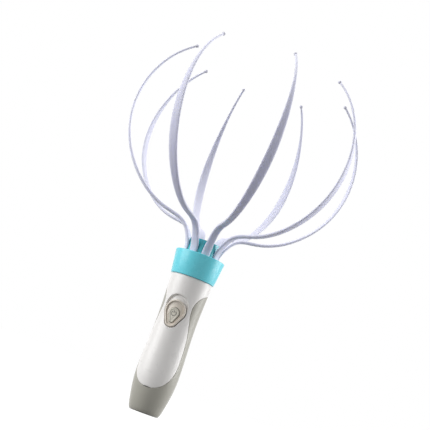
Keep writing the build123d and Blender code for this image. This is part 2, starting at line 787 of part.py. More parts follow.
with BuildPart() as motor_shaft:
    with BuildSketch(Plane.XY.offset(motor_z - shaft_tail)):
        Circle(shaft_r)
    extrude(amount=shaft_top - motor_z + shaft_tail)
    chamfer(motor_shaft.edges().filter_by(GeomType.CIRCLE), length=shaft_chamfer)
motor_shaft.part.label = "motor_shaft"
export_step(motor_shaft.part, "parts/motor_shaft.step")

with BuildPart() as eccentric_weight:
    with BuildSketch(Plane.XY.offset(shaft_top - weight_setback)):
        Circle(weight_r)
        Rectangle(2 * weight_r, weight_r, align=(Align.CENTER, Align.MIN), mode=Mode.SUBTRACT)
        Circle(weight_hub_r)
        Circle(shaft_r, mode=Mode.SUBTRACT)
    extrude(amount=-weight_thickness)
eccentric_weight.part.label = "eccentric_weight"
export_step(eccentric_weight.part, "parts/eccentric_weight.step")

# ---- Motor cradle: a sleeve round the can, held by four webs in a ring that fills the handle ----
cradle_inset = wall + lip_thickness + fit
cradle_z = neck_z - shoulder - fit - cradle_height
cradle_skin = skin(cradle_inset, cradle_inset + cradle_wall)
cradle_form = handle_form(cradle_inset)
with BuildPart() as cradle_webs:
    with BuildSketch(Plane.XY.offset(cradle_z)):
        Rectangle(2 * reach, cradle_wall)
        Rectangle(cradle_wall, 2 * reach)
    extrude(amount=cradle_height)
    add(cradle_form, mode=Mode.INTERSECT)
with BuildPart() as cradle_ring:
    with BuildSketch(Plane.XY.offset(cradle_z)):
        Circle(reach)
    extrude(amount=cradle_height)
    add(cradle_skin, mode=Mode.INTERSECT)
with BuildPart() as motor_cradle:
    extrude(motor_outline(cradle_z, -cradle_wall), amount=cradle_height)
    add(cradle_webs.part)
    add(cradle_ring.part)
    extrude(motor_outline(cradle_z, -fit), amount=cradle_height, mode=Mode.SUBTRACT)
motor_cradle.part.label = "motor_cradle"
export_step(motor_cradle.part, "parts/motor_cradle.step")

# ---- Collar: flared ring snapped onto the handle's spigot, with a lip over the hub ----
bore_r = hub_r + 2 * fit
groove_half = snap_height / 4 + fit     # the bead is half its height wide where it leaves the spigot
with BuildPart() as collar_ring:
    with BuildSketch(Plane.XZ):
        with BuildLine():
            Polyline(
                (spigot_r + fit, collar_z), (collar_bottom_r, collar_z), (collar_top_r, collar_top),
                (collar_top_r - collar_rim, collar_top), (bore_r, hub_top + fit + snap_height),
                (bore_r - snap_depth, hub_top + fit + snap_height / 2), (bore_r, hub_top + fit),
                (bore_r, spigot_top), (spigot_r + fit, spigot_top),
                (spigot_r + fit, snap_z + groove_half), (spigot_r + fit + snap_depth, snap_z),
                (spigot_r + fit, snap_z - groove_half), close=True,
            )
        make_face()
    revolve(axis=Axis.Z)
    rims = collar_ring.edges().filter_by(GeomType.CIRCLE)
    fillet([e for e in rims if e.radius > collar_top_r - collar_rim / 2], radius=collar_edge)
    fillet([e for e in rims if abs(e.radius - collar_bottom_r) < fit / 2], radius=collar_edge)
collar_ring.part.label = "collar_ring"
export_step(collar_ring.part, "parts/collar_ring.step")


# ---- Places of the claws ----
def claw_frame(k):
    """A claw's foot, its outward direction and its sideways direction."""
    turn = math.radians(claw_start + 360 / claw_count * k)
    outward = Vector(math.sin(turn), -math.cos(turn), 0)
    sideways = Vector(math.cos(turn), math.sin(turn), 0)
    return outward * claw_ring_r + Vector(0, 0, pivot_z), outward, sideways


def bead_tool(k, grow, length):
    """A cylinder lying across a claw's foot."""
    foot, outward, sideways = claw_frame(k)
    with BuildPart() as tool:
        with BuildSketch(Plane(origin=foot, x_dir=outward, z_dir=sideways)):
            Circle(foot_bead_r + grow)
        extrude(amount=length / 2, both=True)
    return tool.part


def slot_tool(k):
    """The groove that a claw stands in, widening upwards by the angle that the claw rocks."""
    outward, sideways = claw_frame(k)[1:]
    face_r = claw_ring_r + foot_thickness / 2 + clear
    slope = math.tan(math.radians(claw_swing))
    with BuildPart() as tool:
        with BuildSketch(Plane(origin=(0, 0, pivot_z), x_dir=outward, z_dir=-sideways)):
            with BuildLine():
                Polyline(
                    (slot_r, 0), (face_r, 0), (face_r + hub_base * slope, hub_base), (slot_r, hub_base),
                    close=True,
                )
            make_face()
        extrude(amount=foot_width / 2 + clear, both=True)
        with BuildSketch(Plane(origin=(0, 0, hub_top), x_dir=outward, z_dir=-sideways)):
            Rectangle(crown_foot_r, crown_height, align=(Align.MIN, Align.MIN))
            Rectangle(slot_r, crown_height, align=(Align.MIN, Align.MIN), mode=Mode.SUBTRACT)
        extrude(amount=groove_width / 2, both=True)
    return tool.part


foot_pockets = [bead_tool(k, running, foot_bead_width + 2 * clear) for k in range(claw_count)]
retainer_screw_angle = claw_start - 90 + 180 / claw_count

# ---- Claw retainer: closes the sockets from below ----
with BuildPart() as claw_retainer:
    with BuildSketch(Plane.XY.offset(spigot_top)):
        Circle(hub_r)
        Circle(motor_room_r, mode=Mode.SUBTRACT)
        with PolarLocations(retainer_screw_ring_r, retainer_screw_count, start_angle=retainer_screw_angle):
            Circle(retainer_screw_r + fit, mode=Mode.SUBTRACT)
    extrude(amount=retainer_thickness)
    with BuildSketch(Plane.XY.offset(spigot_top)):
        with PolarLocations(retainer_screw_ring_r, retainer_screw_count, start_angle=retainer_screw_angle):
            Circle(retainer_screw_head_r + fit)
    extrude(amount=retainer_screw_head_height, mode=Mode.SUBTRACT)
    for tool in foot_pockets:
        add(tool, mode=Mode.SUBTRACT)
claw_retainer.part.label = "claw_retainer"
export_step(claw_retainer.part, "parts/claw_retainer.step")

# ---- Claw hub: base with the upper half of the sockets, and the grooved crown over the weight ----
with BuildPart() as claw_hub:
    with BuildSketch(Plane.XY.offset(pivot_z)):
        Circle(hub_r)
    extrude(amount=hub_base)
    with BuildSketch(Plane.XZ):
        with BuildLine():
            Polyline((0, hub_top), (crown_foot_r, hub_top), (crown_top_r, crown_z), (0, crown_z), close=True)
        make_face()
    revolve(axis=Axis.Z)
    with BuildSketch(Plane.XY.offset(pivot_z)):
        Circle(motor_room_r)
    extrude(amount=crown_z - pivot_z - crown_top_thickness, mode=Mode.SUBTRACT)
    fillet(claw_hub.edges().group_by(Axis.Z)[-1], radius=crown_edge)
    with BuildSketch(Plane.XY.offset(pivot_z)):
        with PolarLocations(retainer_screw_ring_r, retainer_screw_count, start_angle=retainer_screw_angle):
            Circle(retainer_screw_r)
    extrude(amount=retainer_pilot_depth, mode=Mode.SUBTRACT)
    for k in range(claw_count):
        add(slot_tool(k), mode=Mode.SUBTRACT)
        add(foot_pockets[k], mode=Mode.SUBTRACT)
claw_hub.part.label = "claw_hub"
export_step(claw_hub.part, "parts/claw_hub.step")


# ---- Claws ----
def set_turn(blade_set, outward, sideways, upward):
    """Turn an offset from the neck by a claw's own set: outwards, sideways, then twist."""
    lean, tilt, twist = (math.radians(angle) for angle in blade_set)

    def turned(first, second, angle):
        """Both parts of an offset after a turn from the first direction's side to the second's."""
        return (
            first * math.cos(angle) + second * math.sin(angle),
            second * math.cos(angle) - first * math.sin(angle),
        )

    outward, upward = turned(outward, upward, lean)
    sideways, upward = turned(sideways, upward, tilt)
    outward, sideways = turned(outward, sideways, -twist)
    return outward, sideways, upward


def claw_path(k):
    """Centreline of a claw from its foot to the blade's end, and the direction across its blade."""
    foot, outward, sideways = claw_frame(k)
    upward = Vector(0, 0, 1)
    neck = foot + upward * neck_lift
    points = [foot + upward * (neck_lift * n / root_spans) for n in range(root_spans)] + [neck]
    for out, height in blade_points:
        o, s, u = set_turn(blade_sets[k], out, 0.0, height - neck_lift)
        points.append(neck + outward * o + sideways * s + upward * u)
    o, s, u = set_turn(blade_sets[k], 0.0, 1.0, 0.0)
    return Spline(*points), outward * o + sideways * s + upward * u


def claw(k):
    """One claw: the bead at its foot, the blade and the pin that carries the tip."""
    foot, outward, sideways = claw_frame(k)
    path, across = claw_path(k)
    neck_share = neck_lift / path.length
    with BuildPart() as body:
        for share, width, thickness in blade_sections:
            along = path % share
            level = sideways if share < neck_share else across
            flat = (level - along * level.dot(along)).normalized()
            with BuildSketch(Plane(origin=path @ share, x_dir=flat, z_dir=along)):
                SlotOverall(width, thickness)
        loft()
        add(bead_tool(k, 0.0, foot_bead_width))
        with BuildSketch(Plane(origin=path @ 1, z_dir=path % 1)):
            Circle(tip_pin_r)
        extrude(amount=tip_pin_length)
    return body.part


def claw_tip(k):
    """The bead on the end of a claw, flat where it meets the blade and bored for the pin."""
    path, across = claw_path(k)
    end = path @ 1
    along = path % 1
    flat = (across - along * across.dot(along)).normalized()
    with BuildPart() as bead:
        with BuildSketch(Plane(origin=end, x_dir=flat, z_dir=flat.cross(along))):
            with Locations((0, tip_lift)):
                Circle(tip_r)
            Rectangle(tip_r, tip_lift + tip_r, align=(Align.MIN, Align.MIN), mode=Mode.INTERSECT)
            Rectangle(tip_pin_r, tip_pin_length, align=(Align.MIN, Align.MIN), mode=Mode.SUBTRACT)
        revolve(axis=Axis(end, along))
    return bead.part


for k in range(claw_count):
    claw_part = claw(k)
    claw_part.label = f"claw_{k + 1}"
    export_step(claw_part, f"parts/claw_{k + 1}.step")
    tip_part = claw_tip(k)
    tip_part.label = f"claw_tip_{k + 1}"
    export_step(tip_part, f"parts/claw_tip_{k + 1}.step")

# ---- Screws ----
with BuildPart() as housing_screws:
    with BuildSketch(Plane.XZ.offset(-screw_seat_y)):
        with Locations(*housing_screw_places):
            Circle(screw_r)
    extrude(amount=screw_length)
    with BuildSketch(Plane.XZ.offset(-screw_seat_y)):
        with Locations(*housing_screw_places):
            Circle(screw_head_r)
    extrude(amount=-screw_head_height)
    with BuildSketch(Plane.XZ.offset(-screw_seat_y - screw_head_height)):
        with Locations(*housing_screw_places):
            Rectangle(screw_cross, screw_slot)
            Rectangle(screw_slot, screw_cross)
    extrude(amount=screw_head_height / 2, mode=Mode.SUBTRACT)
housing_screws.part.label = "housing_screws"
export_step(housing_screws.part, "parts/housing_screws.step")

with BuildPart() as retainer_screws:
    with BuildSketch(Plane.XY.offset(spigot_top)):
        with PolarLocations(retainer_screw_ring_r, retainer_screw_count, start_angle=retainer_screw_angle):
            Circle(retainer_screw_r)
    extrude(amount=retainer_screw_length)
    with BuildSketch(Plane.XY.offset(spigot_top)):
        with PolarLocations(retainer_screw_ring_r, retainer_screw_count, start_angle=retainer_screw_angle):
            Circle(retainer_screw_head_r)
    extrude(amount=retainer_screw_head_height)
    with BuildSketch(Plane.XY.offset(spigot_top)):
        with PolarLocations(retainer_screw_ring_r, retainer_screw_count, start_angle=retainer_screw_angle):
            Rectangle(retainer_screw_cross, screw_slot)
            Rectangle(screw_slot, retainer_screw_cross)
    extrude(amount=retainer_screw_head_height / 2, mode=Mode.SUBTRACT)
retainer_screws.part.label = "retainer_screws"
export_step(retainer_screws.part, "parts/retainer_screws.step")


# ---- Leads: from the solder tabs up or down to the back of the board ----
def lead(x, y, start_z, level_z):
    """A wire that leaves a tab vertically and turns forward to the board."""
    back_y = board_face_y + board_thickness
    with BuildPart() as wire:
        with BuildLine():
            FilletPolyline((x, y, start_z), (x, y, level_z), (x, back_y, level_z), radius=lead_bend_r)
        with BuildSketch(Plane.XY.offset(start_z)):
            with Locations((x, y)):
                Circle(lead_r)
        sweep()
    return wire.part


tab_top, tag_end = tray_top + tab_height, motor_z - terminal_height
battery_leads = Compound(children=[lead(side * cell_x, tab_y, tab_top, battery_lead_z) for side in sides])
battery_leads.label = "battery_leads"
export_step(battery_leads, "parts/battery_leads.step")
motor_leads = Compound(children=[lead(side * terminal_x, 0, tag_end, motor_lead_z) for side in sides])
motor_leads.label = "motor_leads"
export_step(motor_leads, "parts/motor_leads.step")
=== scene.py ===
from math import cos, pi, radians, sin

import bpy
import numpy as np
from mathutils import Matrix, Vector


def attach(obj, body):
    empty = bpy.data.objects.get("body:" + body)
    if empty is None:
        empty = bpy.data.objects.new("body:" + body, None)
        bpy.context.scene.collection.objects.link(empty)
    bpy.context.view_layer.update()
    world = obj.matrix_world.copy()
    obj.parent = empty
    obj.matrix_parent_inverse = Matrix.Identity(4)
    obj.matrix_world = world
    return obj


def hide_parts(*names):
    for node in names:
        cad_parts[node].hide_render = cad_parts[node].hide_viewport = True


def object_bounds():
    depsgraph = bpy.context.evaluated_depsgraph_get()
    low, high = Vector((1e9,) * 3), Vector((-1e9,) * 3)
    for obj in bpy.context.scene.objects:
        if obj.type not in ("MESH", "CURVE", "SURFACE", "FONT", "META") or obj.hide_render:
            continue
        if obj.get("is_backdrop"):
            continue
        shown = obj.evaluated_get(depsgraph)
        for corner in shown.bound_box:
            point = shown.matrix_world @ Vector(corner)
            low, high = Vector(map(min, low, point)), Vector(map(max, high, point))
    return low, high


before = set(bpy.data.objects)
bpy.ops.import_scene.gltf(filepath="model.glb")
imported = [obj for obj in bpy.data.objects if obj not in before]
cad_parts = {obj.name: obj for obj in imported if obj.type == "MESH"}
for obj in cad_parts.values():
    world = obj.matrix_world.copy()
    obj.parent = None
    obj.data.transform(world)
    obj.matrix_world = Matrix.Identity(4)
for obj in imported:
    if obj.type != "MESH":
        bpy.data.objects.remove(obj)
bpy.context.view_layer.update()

mm = 0.001


# ---- Small tools ----
def linear(code):
    """An sRGB hex colour as linear red, green, blue and alpha."""
    channels = [int(code[n:n + 2], 16) / 255 for n in (1, 3, 5)]
    return [c / 12.92 if c <= 0.04045 else ((c + 0.055) / 1.055) ** 2.4 for c in channels] + [1.0]


def add_node(tree, kind, inputs=None, **settings):
    """Add a node, set its properties, and fill its inputs with values or with other nodes' outputs."""
    node = tree.nodes.new(kind)
    for name, value in settings.items():
        setattr(node, name, value)
    for name, value in (inputs or {}).items():
        if isinstance(value, bpy.types.NodeSocket):
            tree.links.new(value, node.inputs[name])
        else:
            node.inputs[name].default_value = value
    return node


# ---- Camera: low in front, tilted, looking up at the claws ----
camera_turn = radians(17.0)
camera_rise = radians(-9.775)
camera_roll = radians(20.112)
camera_distance = 781.47 * mm
aim_height = 155.53 * mm
aim_shift = -0.469 * mm
camera_lens, camera_sensor = 86.855, 36.0

right = Vector((cos(camera_turn), sin(camera_turn), 0.0))
back = Vector((sin(camera_turn) * cos(camera_rise), -cos(camera_turn) * cos(camera_rise), sin(camera_rise)))
up = back.cross(right)
place = Vector((0.0, 0.0, aim_height)) + right * aim_shift + back * camera_distance
across = right * cos(camera_roll) + up * sin(camera_roll)
upright = up * cos(camera_roll) - right * sin(camera_roll)
camera_data = bpy.data.cameras.new("camera")
camera_data.lens = camera_lens
camera_data.sensor_width = camera_sensor
camera = bpy.data.objects.new("camera", camera_data)
camera.matrix_world = Matrix((
    (across.x, upright.x, back.x, place.x),
    (across.y, upright.y, back.y, place.y),
    (across.z, upright.z, back.z, place.z),
    (0.0, 0.0, 0.0, 1.0),
))
bpy.context.scene.collection.objects.link(camera)
bpy.context.scene.camera = camera
bpy.context.scene.view_settings.view_transform = "Standard"

# ---- Studio: white surroundings, two tall softboxes, a large one overhead ----
plain_white = (1.0, 1.0, 1.0, 1.0)
brightest_way = (0.0, 0.75, 0.66)         # up behind the massager
darkest, brightest = 0.2, 0.8             # the room's light ahead of it and behind it
floor_glow = 0.9                          # how white the floor looks, where 1 is white
floor_half = 12.0


def white_to_view(tree):
    """1 where the backdrop is seen directly, in a reflection or through a clear piece, 0 for its light."""
    rays = add_node(tree, "ShaderNodeLightPath")
    seen = add_node(tree, "ShaderNodeMath", {
        0: rays.outputs["Is Camera Ray"], 1: rays.outputs["Is Glossy Ray"],
    }, operation="MAXIMUM")
    return add_node(tree, "ShaderNodeMath", {
        0: seen.outputs[0], 1: rays.outputs["Is Transmission Ray"],
    }, operation="MAXIMUM").outputs[0]


world = bpy.data.worlds.new("studio")
world.use_nodes = True
bpy.context.scene.world = world
tree = world.node_tree
tree.nodes.clear()
direction = add_node(tree, "ShaderNodeTexCoord")
backwards = add_node(tree, "ShaderNodeVectorMath", {
    0: direction.outputs["Generated"], 1: brightest_way,
}, operation="DOT_PRODUCT")
shade = add_node(tree, "ShaderNodeMapRange", {
    "Value": backwards.outputs["Value"], "From Min": -0.5, "From Max": 0.85,
    "To Min": darkest, "To Max": brightest,
}, interpolation_type="SMOOTHSTEP")
backdrop = white_to_view(tree)
light = add_node(tree, "ShaderNodeBackground", {"Color": plain_white, "Strength": shade.outputs["Result"]})
white = add_node(tree, "ShaderNodeBackground", {"Color": plain_white, "Strength": 1.0})
sky = add_node(tree, "ShaderNodeMixShader", {0: backdrop, 1: light.outputs[0], 2: white.outputs[0]})
add_node(tree, "ShaderNodeOutputWorld", {"Surface": sky.outputs[0]})


def softbox(name, place, target, width, height, power):
    """A rectangular area lamp that faces a point."""
    data = bpy.data.lights.new(name, "AREA")
    data.shape = "RECTANGLE"
    data.size = width
    data.size_y = height
    data.energy = power
    lamp = bpy.data.objects.new(name, data)
    lamp.location = place
    lamp.rotation_euler = (Vector(target) - Vector(place)).to_track_quat("-Z", "Y").to_euler()
    bpy.context.scene.collection.objects.link(lamp)


softbox("softbox_left", (-1.53, -0.97, 0.5), (0.0, 0.0, 0.12), 1.5, 2.0, 41.0)
softbox("softbox_right", (1.7, 0.8, 0.45), (0.0, 0.0, 0.12), 1.5, 2.0, 41.0)
softbox("softbox_top", (0.0, 0.5, 2.4), (0.0, 0.0, 0.15), 2.0, 1.4, 14.0)

floor_material = bpy.data.materials.new("pale_floor")
floor_material.use_nodes = True
tree = floor_material.node_tree
tree.nodes.clear()
weight = add_node(tree, "ShaderNodeMath", {0: white_to_view(tree), 1: floor_glow}, operation="MULTIPLY")
matt = add_node(tree, "ShaderNodeBsdfDiffuse", {"Color": linear("#7E7E7E")})
glow = add_node(tree, "ShaderNodeEmission", {"Color": plain_white, "Strength": weight.outputs[0]})
surface = add_node(tree, "ShaderNodeAddShader", {0: matt.outputs[0], 1: glow.outputs[0]})
add_node(tree, "ShaderNodeOutputMaterial", {"Surface": surface.outputs[0]})
floor_material.cycles.emission_sampling = "NONE"     # its glow is only for the eye, not a lamp
floor_mesh = bpy.data.meshes.new("floor")
floor_corners = [(x * floor_half, y * floor_half, 0) for x, y in ((-1, -1), (1, -1), (1, 1), (-1, 1))]
floor_mesh.from_pydata(floor_corners, [], [(0, 1, 2, 3)])
floor_mesh.materials.append(floor_material)
floor = bpy.data.objects.new("floor", floor_mesh)
bpy.context.scene.collection.objects.link(floor)
floor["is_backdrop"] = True

# ---- Finishes ----
drift_mm, cloud_mm = 14.0, 4.0            # how far apart colour and gloss wander over a moulding


def moulded(name, colour, shade, roughness, grain_mm=0.8, grain_depth=0.02, **sockets):
    """A moulded or machined surface: faint colour drift, uneven gloss and a fine grain in the bump."""
    material = bpy.data.materials.new(name)
    material.use_nodes = True
    tree = material.node_tree
    tree.nodes.clear()
    spot = add_node(tree, "ShaderNodeTexCoord").outputs["Object"]
    drift = add_node(tree, "ShaderNodeTexNoise", {
        "Vector": spot, "Scale": 1 / (drift_mm * mm), "Detail": 3.0,
    })
    tint = add_node(tree, "ShaderNodeMix", {
        "Factor": drift.outputs["Fac"], 6: linear(colour), 7: linear(shade),
    }, data_type="RGBA")
    cloud = add_node(tree, "ShaderNodeTexNoise", {
        "Vector": spot, "Scale": 1 / (cloud_mm * mm), "Detail": 5.0,
    })
    gloss = add_node(tree, "ShaderNodeMapRange", {
        "Value": cloud.outputs["Fac"], "From Min": 0.3, "From Max": 0.7,
        "To Min": roughness * 0.85, "To Max": roughness * 1.15,
    })
    # A mould's own grain is about 0.1 mm, too fine to show, so it is drawn as coarse as grain_mm
    grain = add_node(tree, "ShaderNodeTexNoise", {
        "Vector": spot, "Scale": 1 / (grain_mm * mm), "Detail": 2.0,
    })
    bump = add_node(tree, "ShaderNodeBump", {
        "Strength": 0.35, "Distance": grain_depth * mm, "Height": grain.outputs["Fac"],
    })
    shader = add_node(tree, "ShaderNodeBsdfPrincipled", {
        "Base Color": tint.outputs[2], "Roughness": gloss.outputs["Result"], "Normal": bump.outputs["Normal"],
    })
    for socket, value in sockets.items():
        shader.inputs[socket.replace("_", " ")].default_value = value
    add_node(tree, "ShaderNodeOutputMaterial", {"Surface": shader.outputs[0]})
    return material


# Moulded ABS in a polished tool: broad bright highlights along the casing
white_abs = moulded("gloss_white_abs", "#F3F1EF", "#EEECEA", 0.3)
# The same plastic from a duller tool: softer highlights on a warm grey
grey_abs = moulded("satin_grey_abs", "#AEACA2", "#A6A49A", 0.34)
# Tinted acrylic, polished: saturated colour with a clear streak of light at each side
teal_acrylic = moulded("polished_teal_acrylic", "#70E4F4", "#66DAEB", 0.27)
# The same in a deeper tint, glossier: dark between the claws
crown_acrylic = moulded("teal_crown_acrylic", "#48BEC9", "#42B4C0", 0.2)
# Moulded ABS: a pale warm rim that catches the light round the button
beige_abs = moulded("beige_abs", "#E2DACF", "#DAD1C5", 0.3)
# Soft-touch elastomer: duller than the plastic round it
button_rubber = moulded("beige_button_elastomer", "#DAD6CA", "#D2CEC1", 0.4)
# Pad-printed ink: flat and dark, so that the sign reads
sign_paint = moulded("power_sign_paint", "#5E5B56", "#585550", 0.5)
# Frosted polyamide: light goes a little way in, so edges glow faintly and highlights stay weak
milky = {
    "Subsurface_Weight": 0.5, "Subsurface_Radius": (1.0, 1.0, 1.05), "Subsurface_Scale": 2.0 * mm,
    "Specular_IOR_Level": 0.35,
}
claw_nylon = moulded("frosted_claw_nylon", "#DFE0F0", "#DADBEC", 0.5, 1.5, 0.008, **milky)
tip_nylon = moulded("tip_nylon", "#D6D6E2", "#CECEDC", 0.5, 1.5, 0.008, **milky)
# Solder-masked glass epoxy: an even green with a slight sheen
glass_epoxy = moulded("glass_epoxy_board", "#2F6B3F", "#285F37", 0.4)
# Moulded polyamide: near black, dull
black_plastic = moulded("black_nylon", "#1E1E20", "#242427", 0.45)
# Shrunk printed film: dark and glossy round the cells
cell_sleeve = moulded("cell_sleeve_film", "#35383D", "#2C2F34", 0.25)
# Plated spring strip: warm, bright metal
nickel_plate = moulded("nickel_plated_strip", "#C9C6BE", "#BDB9B0", 0.25, Metallic=1.0)
# Drawn steel: cool metal, a little duller than plating
steel_can = moulded("drawn_steel_can", "#B9BABC", "#ABACAF", 0.3, Metallic=1.0)
# Moulded polyamide, uncoloured: creamy and dull
white_nylon = moulded("white_nylon", "#E6E4DC", "#DEDCD3", 0.45)
# Sintered ferrite: charcoal grey, matt
ferrite = moulded("sintered_ferrite", "#3B3A3A", "#323131", 0.6)
# Lacquered copper wire: reddish metal
copper_wire = moulded("lacquered_copper", "#B8683C", "#A65B33", 0.3, Metallic=1.0)
# Turned brass: yellow metal, bright
brass = moulded("turned_brass", "#C9A553", "#BC9746", 0.25, Metallic=1.0)
# Zinc-plated steel: bluish metal
zinc_steel = moulded("zinc_plated_steel", "#B7BBC0", "#A9ADB3", 0.3, Metallic=1.0)
# Extruded PVC: glossy red
red_pvc = moulded("red_pvc_sleeve", "#B4241F", "#A81F1B", 0.35)

# ---- Sizes, in millimetres ----
base_r = 10.2
heel_r, heel_z, heel_slope = 12.6, 4.0, 0.23
bulge_r, bulge_z = 16.0, 30.5
waist_r, waist_z = 14.8, 70.0
neck_r, neck_z, neck_slope = 15.95, 103.6, 0.03
wall = 2.0
stations = [
    (heel_r, heel_z, heel_slope), (bulge_r, bulge_z, 0.0),
    (waist_r, waist_z, 0.0), (neck_r, neck_z, neck_slope),
]
# Seam: (share of the handle's radius, + towards the back; height)
seam_stations = [
    (1.12, 101.2), (0.24, 95.4), (-0.50, 89.9), (-0.67, 82.3), (-0.56, 71.0),
    (-0.37, 58.0), (-0.335, 46.5), (-0.40, 34.8), (-0.62, 26.2), (-0.86, 20.8), (-1.12, 16.8),
]
seam_gap, seam_edge = 0.12, 0.3
# Teardrops: (wide circle's radius and height, narrow circle's radius and height)
pocket = (8.45, 80.6, 5.3, 69.25)
bezel = (8.0, 76.8, 4.75, 69.25)
island = (3.95, 75.0, 1.8, 69.5)
pocket_depth, pocket_brow, pocket_lip, pocket_lean, pocket_foot = 1.9, 0.5, 0.5, 0.35, 0.4
ditch_width, ditch_shift = 0.35, 0.15     # the dark line round the bezel, wider towards +X
bezel_proud, bezel_rim, bezel_dish, bezel_thickness, bezel_gap = 0.3, 1.15, 1.15, 2.4, 0.05
rim_edge, dish_edge, dish_foot = 0.4, 0.35, 0.4
button_inset, button_gap, button_depth = 0.4, 0.3, 3.0
island_edge, island_hole_edge = 0.45, 0.15
hollow_brow, hollow_depth, hollow_edge, hollow_foot = -0.75, 0.4, 0.2, 0.3
sign_r, sign_half, sign_gap = 1.75, 0.22, radians(38)
sign_bar, sign_height, sign_slope = (0.45, 2.1), 0.12, 0.1
sign_z = island[1] - 0.3
spigot_r, spigot_height, spigot_wall, spigot_root = 14.9, 3.5, 1.6, 1.0
neck_edge = 0.3
door_z, door_length, door_half, door_corner, door_thickness = 14.0, 49.0, 11.0, 2.5, 1.6
door_gap = 0.3
latch_half, latch_slit, latch_length = 4.0, 0.6, 7.0
hook_x, hook_half, hook_top = 3.5, 2, 1.2
nose_half, nose_low, nose_high = 3, 1.3, 0.15
grip_bars, grip_pitch, grip_half, grip_r, grip_proud, grip_end = 3, 1.8, 3.4, 0.5, 0.4, 0.06
collar_z, collar_top, collar_bottom_r, collar_top_r = 103.95, 122.1, 16.82, 19.09
collar_lip, collar_bore_r, crown_top_z, crown_foot_z = 1.7, 15.7, 116.4, 107.1
collar_fit = 0.05
claw_count, claw_start, claw_ring_r, pivot_z = 8, 30.3, 12.6, 111.1
foot_bead_r, foot_bead_width, foot_bead_edge = 2.4, 5.8, 0.2
foot_thickness = 2.6
neck_lift, root_spans = 12.9, 4
# A blade's middle line above its neck: (out from the foot's ring, height above the pivot)
blade_points = [
    (1.8, 19.7), (9.65, 30.9), (25.15, 35.5), (52.0, 49.5),
    (72.95, 77.45), (78.85, 113.1), (67.95, 145.9), (52.95, 162.3),
]
# A blade's sections: (share of its length, width, thickness)
blade_sections = [
    (0.0, 5.4, foot_thickness), (0.025, 5.4, foot_thickness), (0.055, 6.4, foot_thickness),
    (0.14, 5.5, 2.6), (0.26, 5.2, 2.5), (0.36, 5.8, 2.3), (0.45, 6.6, 2.0), (0.54, 7.0, 1.9),
    (0.62, 6.5, 1.8), (0.71, 5.1, 1.75), (0.80, 3.4, 1.7), (0.88, 2.1, 1.6), (1.0, 1.6, 1.5),
]
blade_flatness = 3.0                      # 2 is an oval section, more is squarer
level_until, level_fade = 0.05, 0.08      # the foot stays level, then the blade takes its own turn
# Each blade's own set about its neck, in degrees: (outwards, sideways, twist)
blade_sets = [
    (0.8, -0.9, 0.9), (0.1, -2.7, 1.0), (0.9, -1.8, 0.2), (-0.4, -0.8, -0.3),
    (0.0, -0.4, -0.1), (0.0, -6.2, 1.1), (-2.4, -2.2, -12.2), (-0.1, -2.7, 0.4),
]
tip_r, tip_lift = 1.35, 0.9

# ---- How closely the meshes are drawn ----
row_step = 0.9
handle_count = 120
ring_count = 28
full_turn = np.arange(handle_count) * 2 * pi / handle_count
ring_turns = np.arange(ring_count) * 2 * pi / ring_count
edge_turn = (0.1, 0.35, 0.65, 1.0)        # shares of a rounded edge that get a line
drop_turn = (0.0, 0.35, 0.65, 0.88, 1.0)
wall_lean = 0.12
snap = 0.02                               # a point this near a line is taken to be on it
far = 50.0                                # stands for a distance on the handle's other side


# ---- Making pieces ----
def add_piece(name, points, faces, finishes, body, nodes, slot, marks=None):
    """A piece from points in millimetres, riding on its body in place of its CAD nodes."""
    mesh = bpy.data.meshes.new(name)
    mesh.from_pydata([tuple(p * mm) for p in np.asarray(points, float)], [], [list(f) for f in faces])
    for finish in finishes:
        mesh.materials.append(finish)
    if marks is not None:
        mesh.polygons.foreach_set("material_index", marks)
    mesh.polygons.foreach_set("use_smooth", [True] * len(mesh.polygons))
    mesh.update()
    piece = bpy.data.objects.new(name, mesh)
    bpy.context.scene.collection.objects.link(piece)
    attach(piece, body)
    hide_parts(*nodes)


def radius_at(z):
    """Radius of the handle's surface at heights, the rounded heel included."""
    z = np.asarray(z, float)
    t = np.sqrt(np.clip(z / heel_z, 0, 1))
    corner = heel_r - heel_slope * heel_z
    radius = base_r * (1 - t) ** 2 + 2 * corner * t * (1 - t) + heel_r * t * t
    for (r0, z0, slope0), (r1, z1, slope1) in zip(stations, stations[1:]):
        t = np.clip((z - z0) / (z1 - z0), 0, 1)
        ease = t * t * (3 - 2 * t)
        bow = (slope0 * t * (1 - t) ** 2 - slope1 * t * t * (1 - t)) * (z1 - z0)
        radius = np.where(z > z0, r0 + (r1 - r0) * ease + bow, radius)
    return radius


def end_slope(places, points, at):
    """Slope at one place of the cubic through four points."""
    slope = 0.0
    for i in range(4):
        others = [j for j in range(4) if j != i]
        base = np.prod([places[i] - places[j] for j in others])
        rate = sum(np.prod([at - places[k] for k in others if k != j]) for j in others)
        slope = slope + points[i] * rate / base
    return slope


def cubic_weights(t):
    """Weights of a cubic's start, its slope there, its end and its slope there."""
    return 2 * t ** 3 - 3 * t * t + 1, t ** 3 - 2 * t * t + t, 3 * t * t - 2 * t ** 3, t ** 3 - t * t


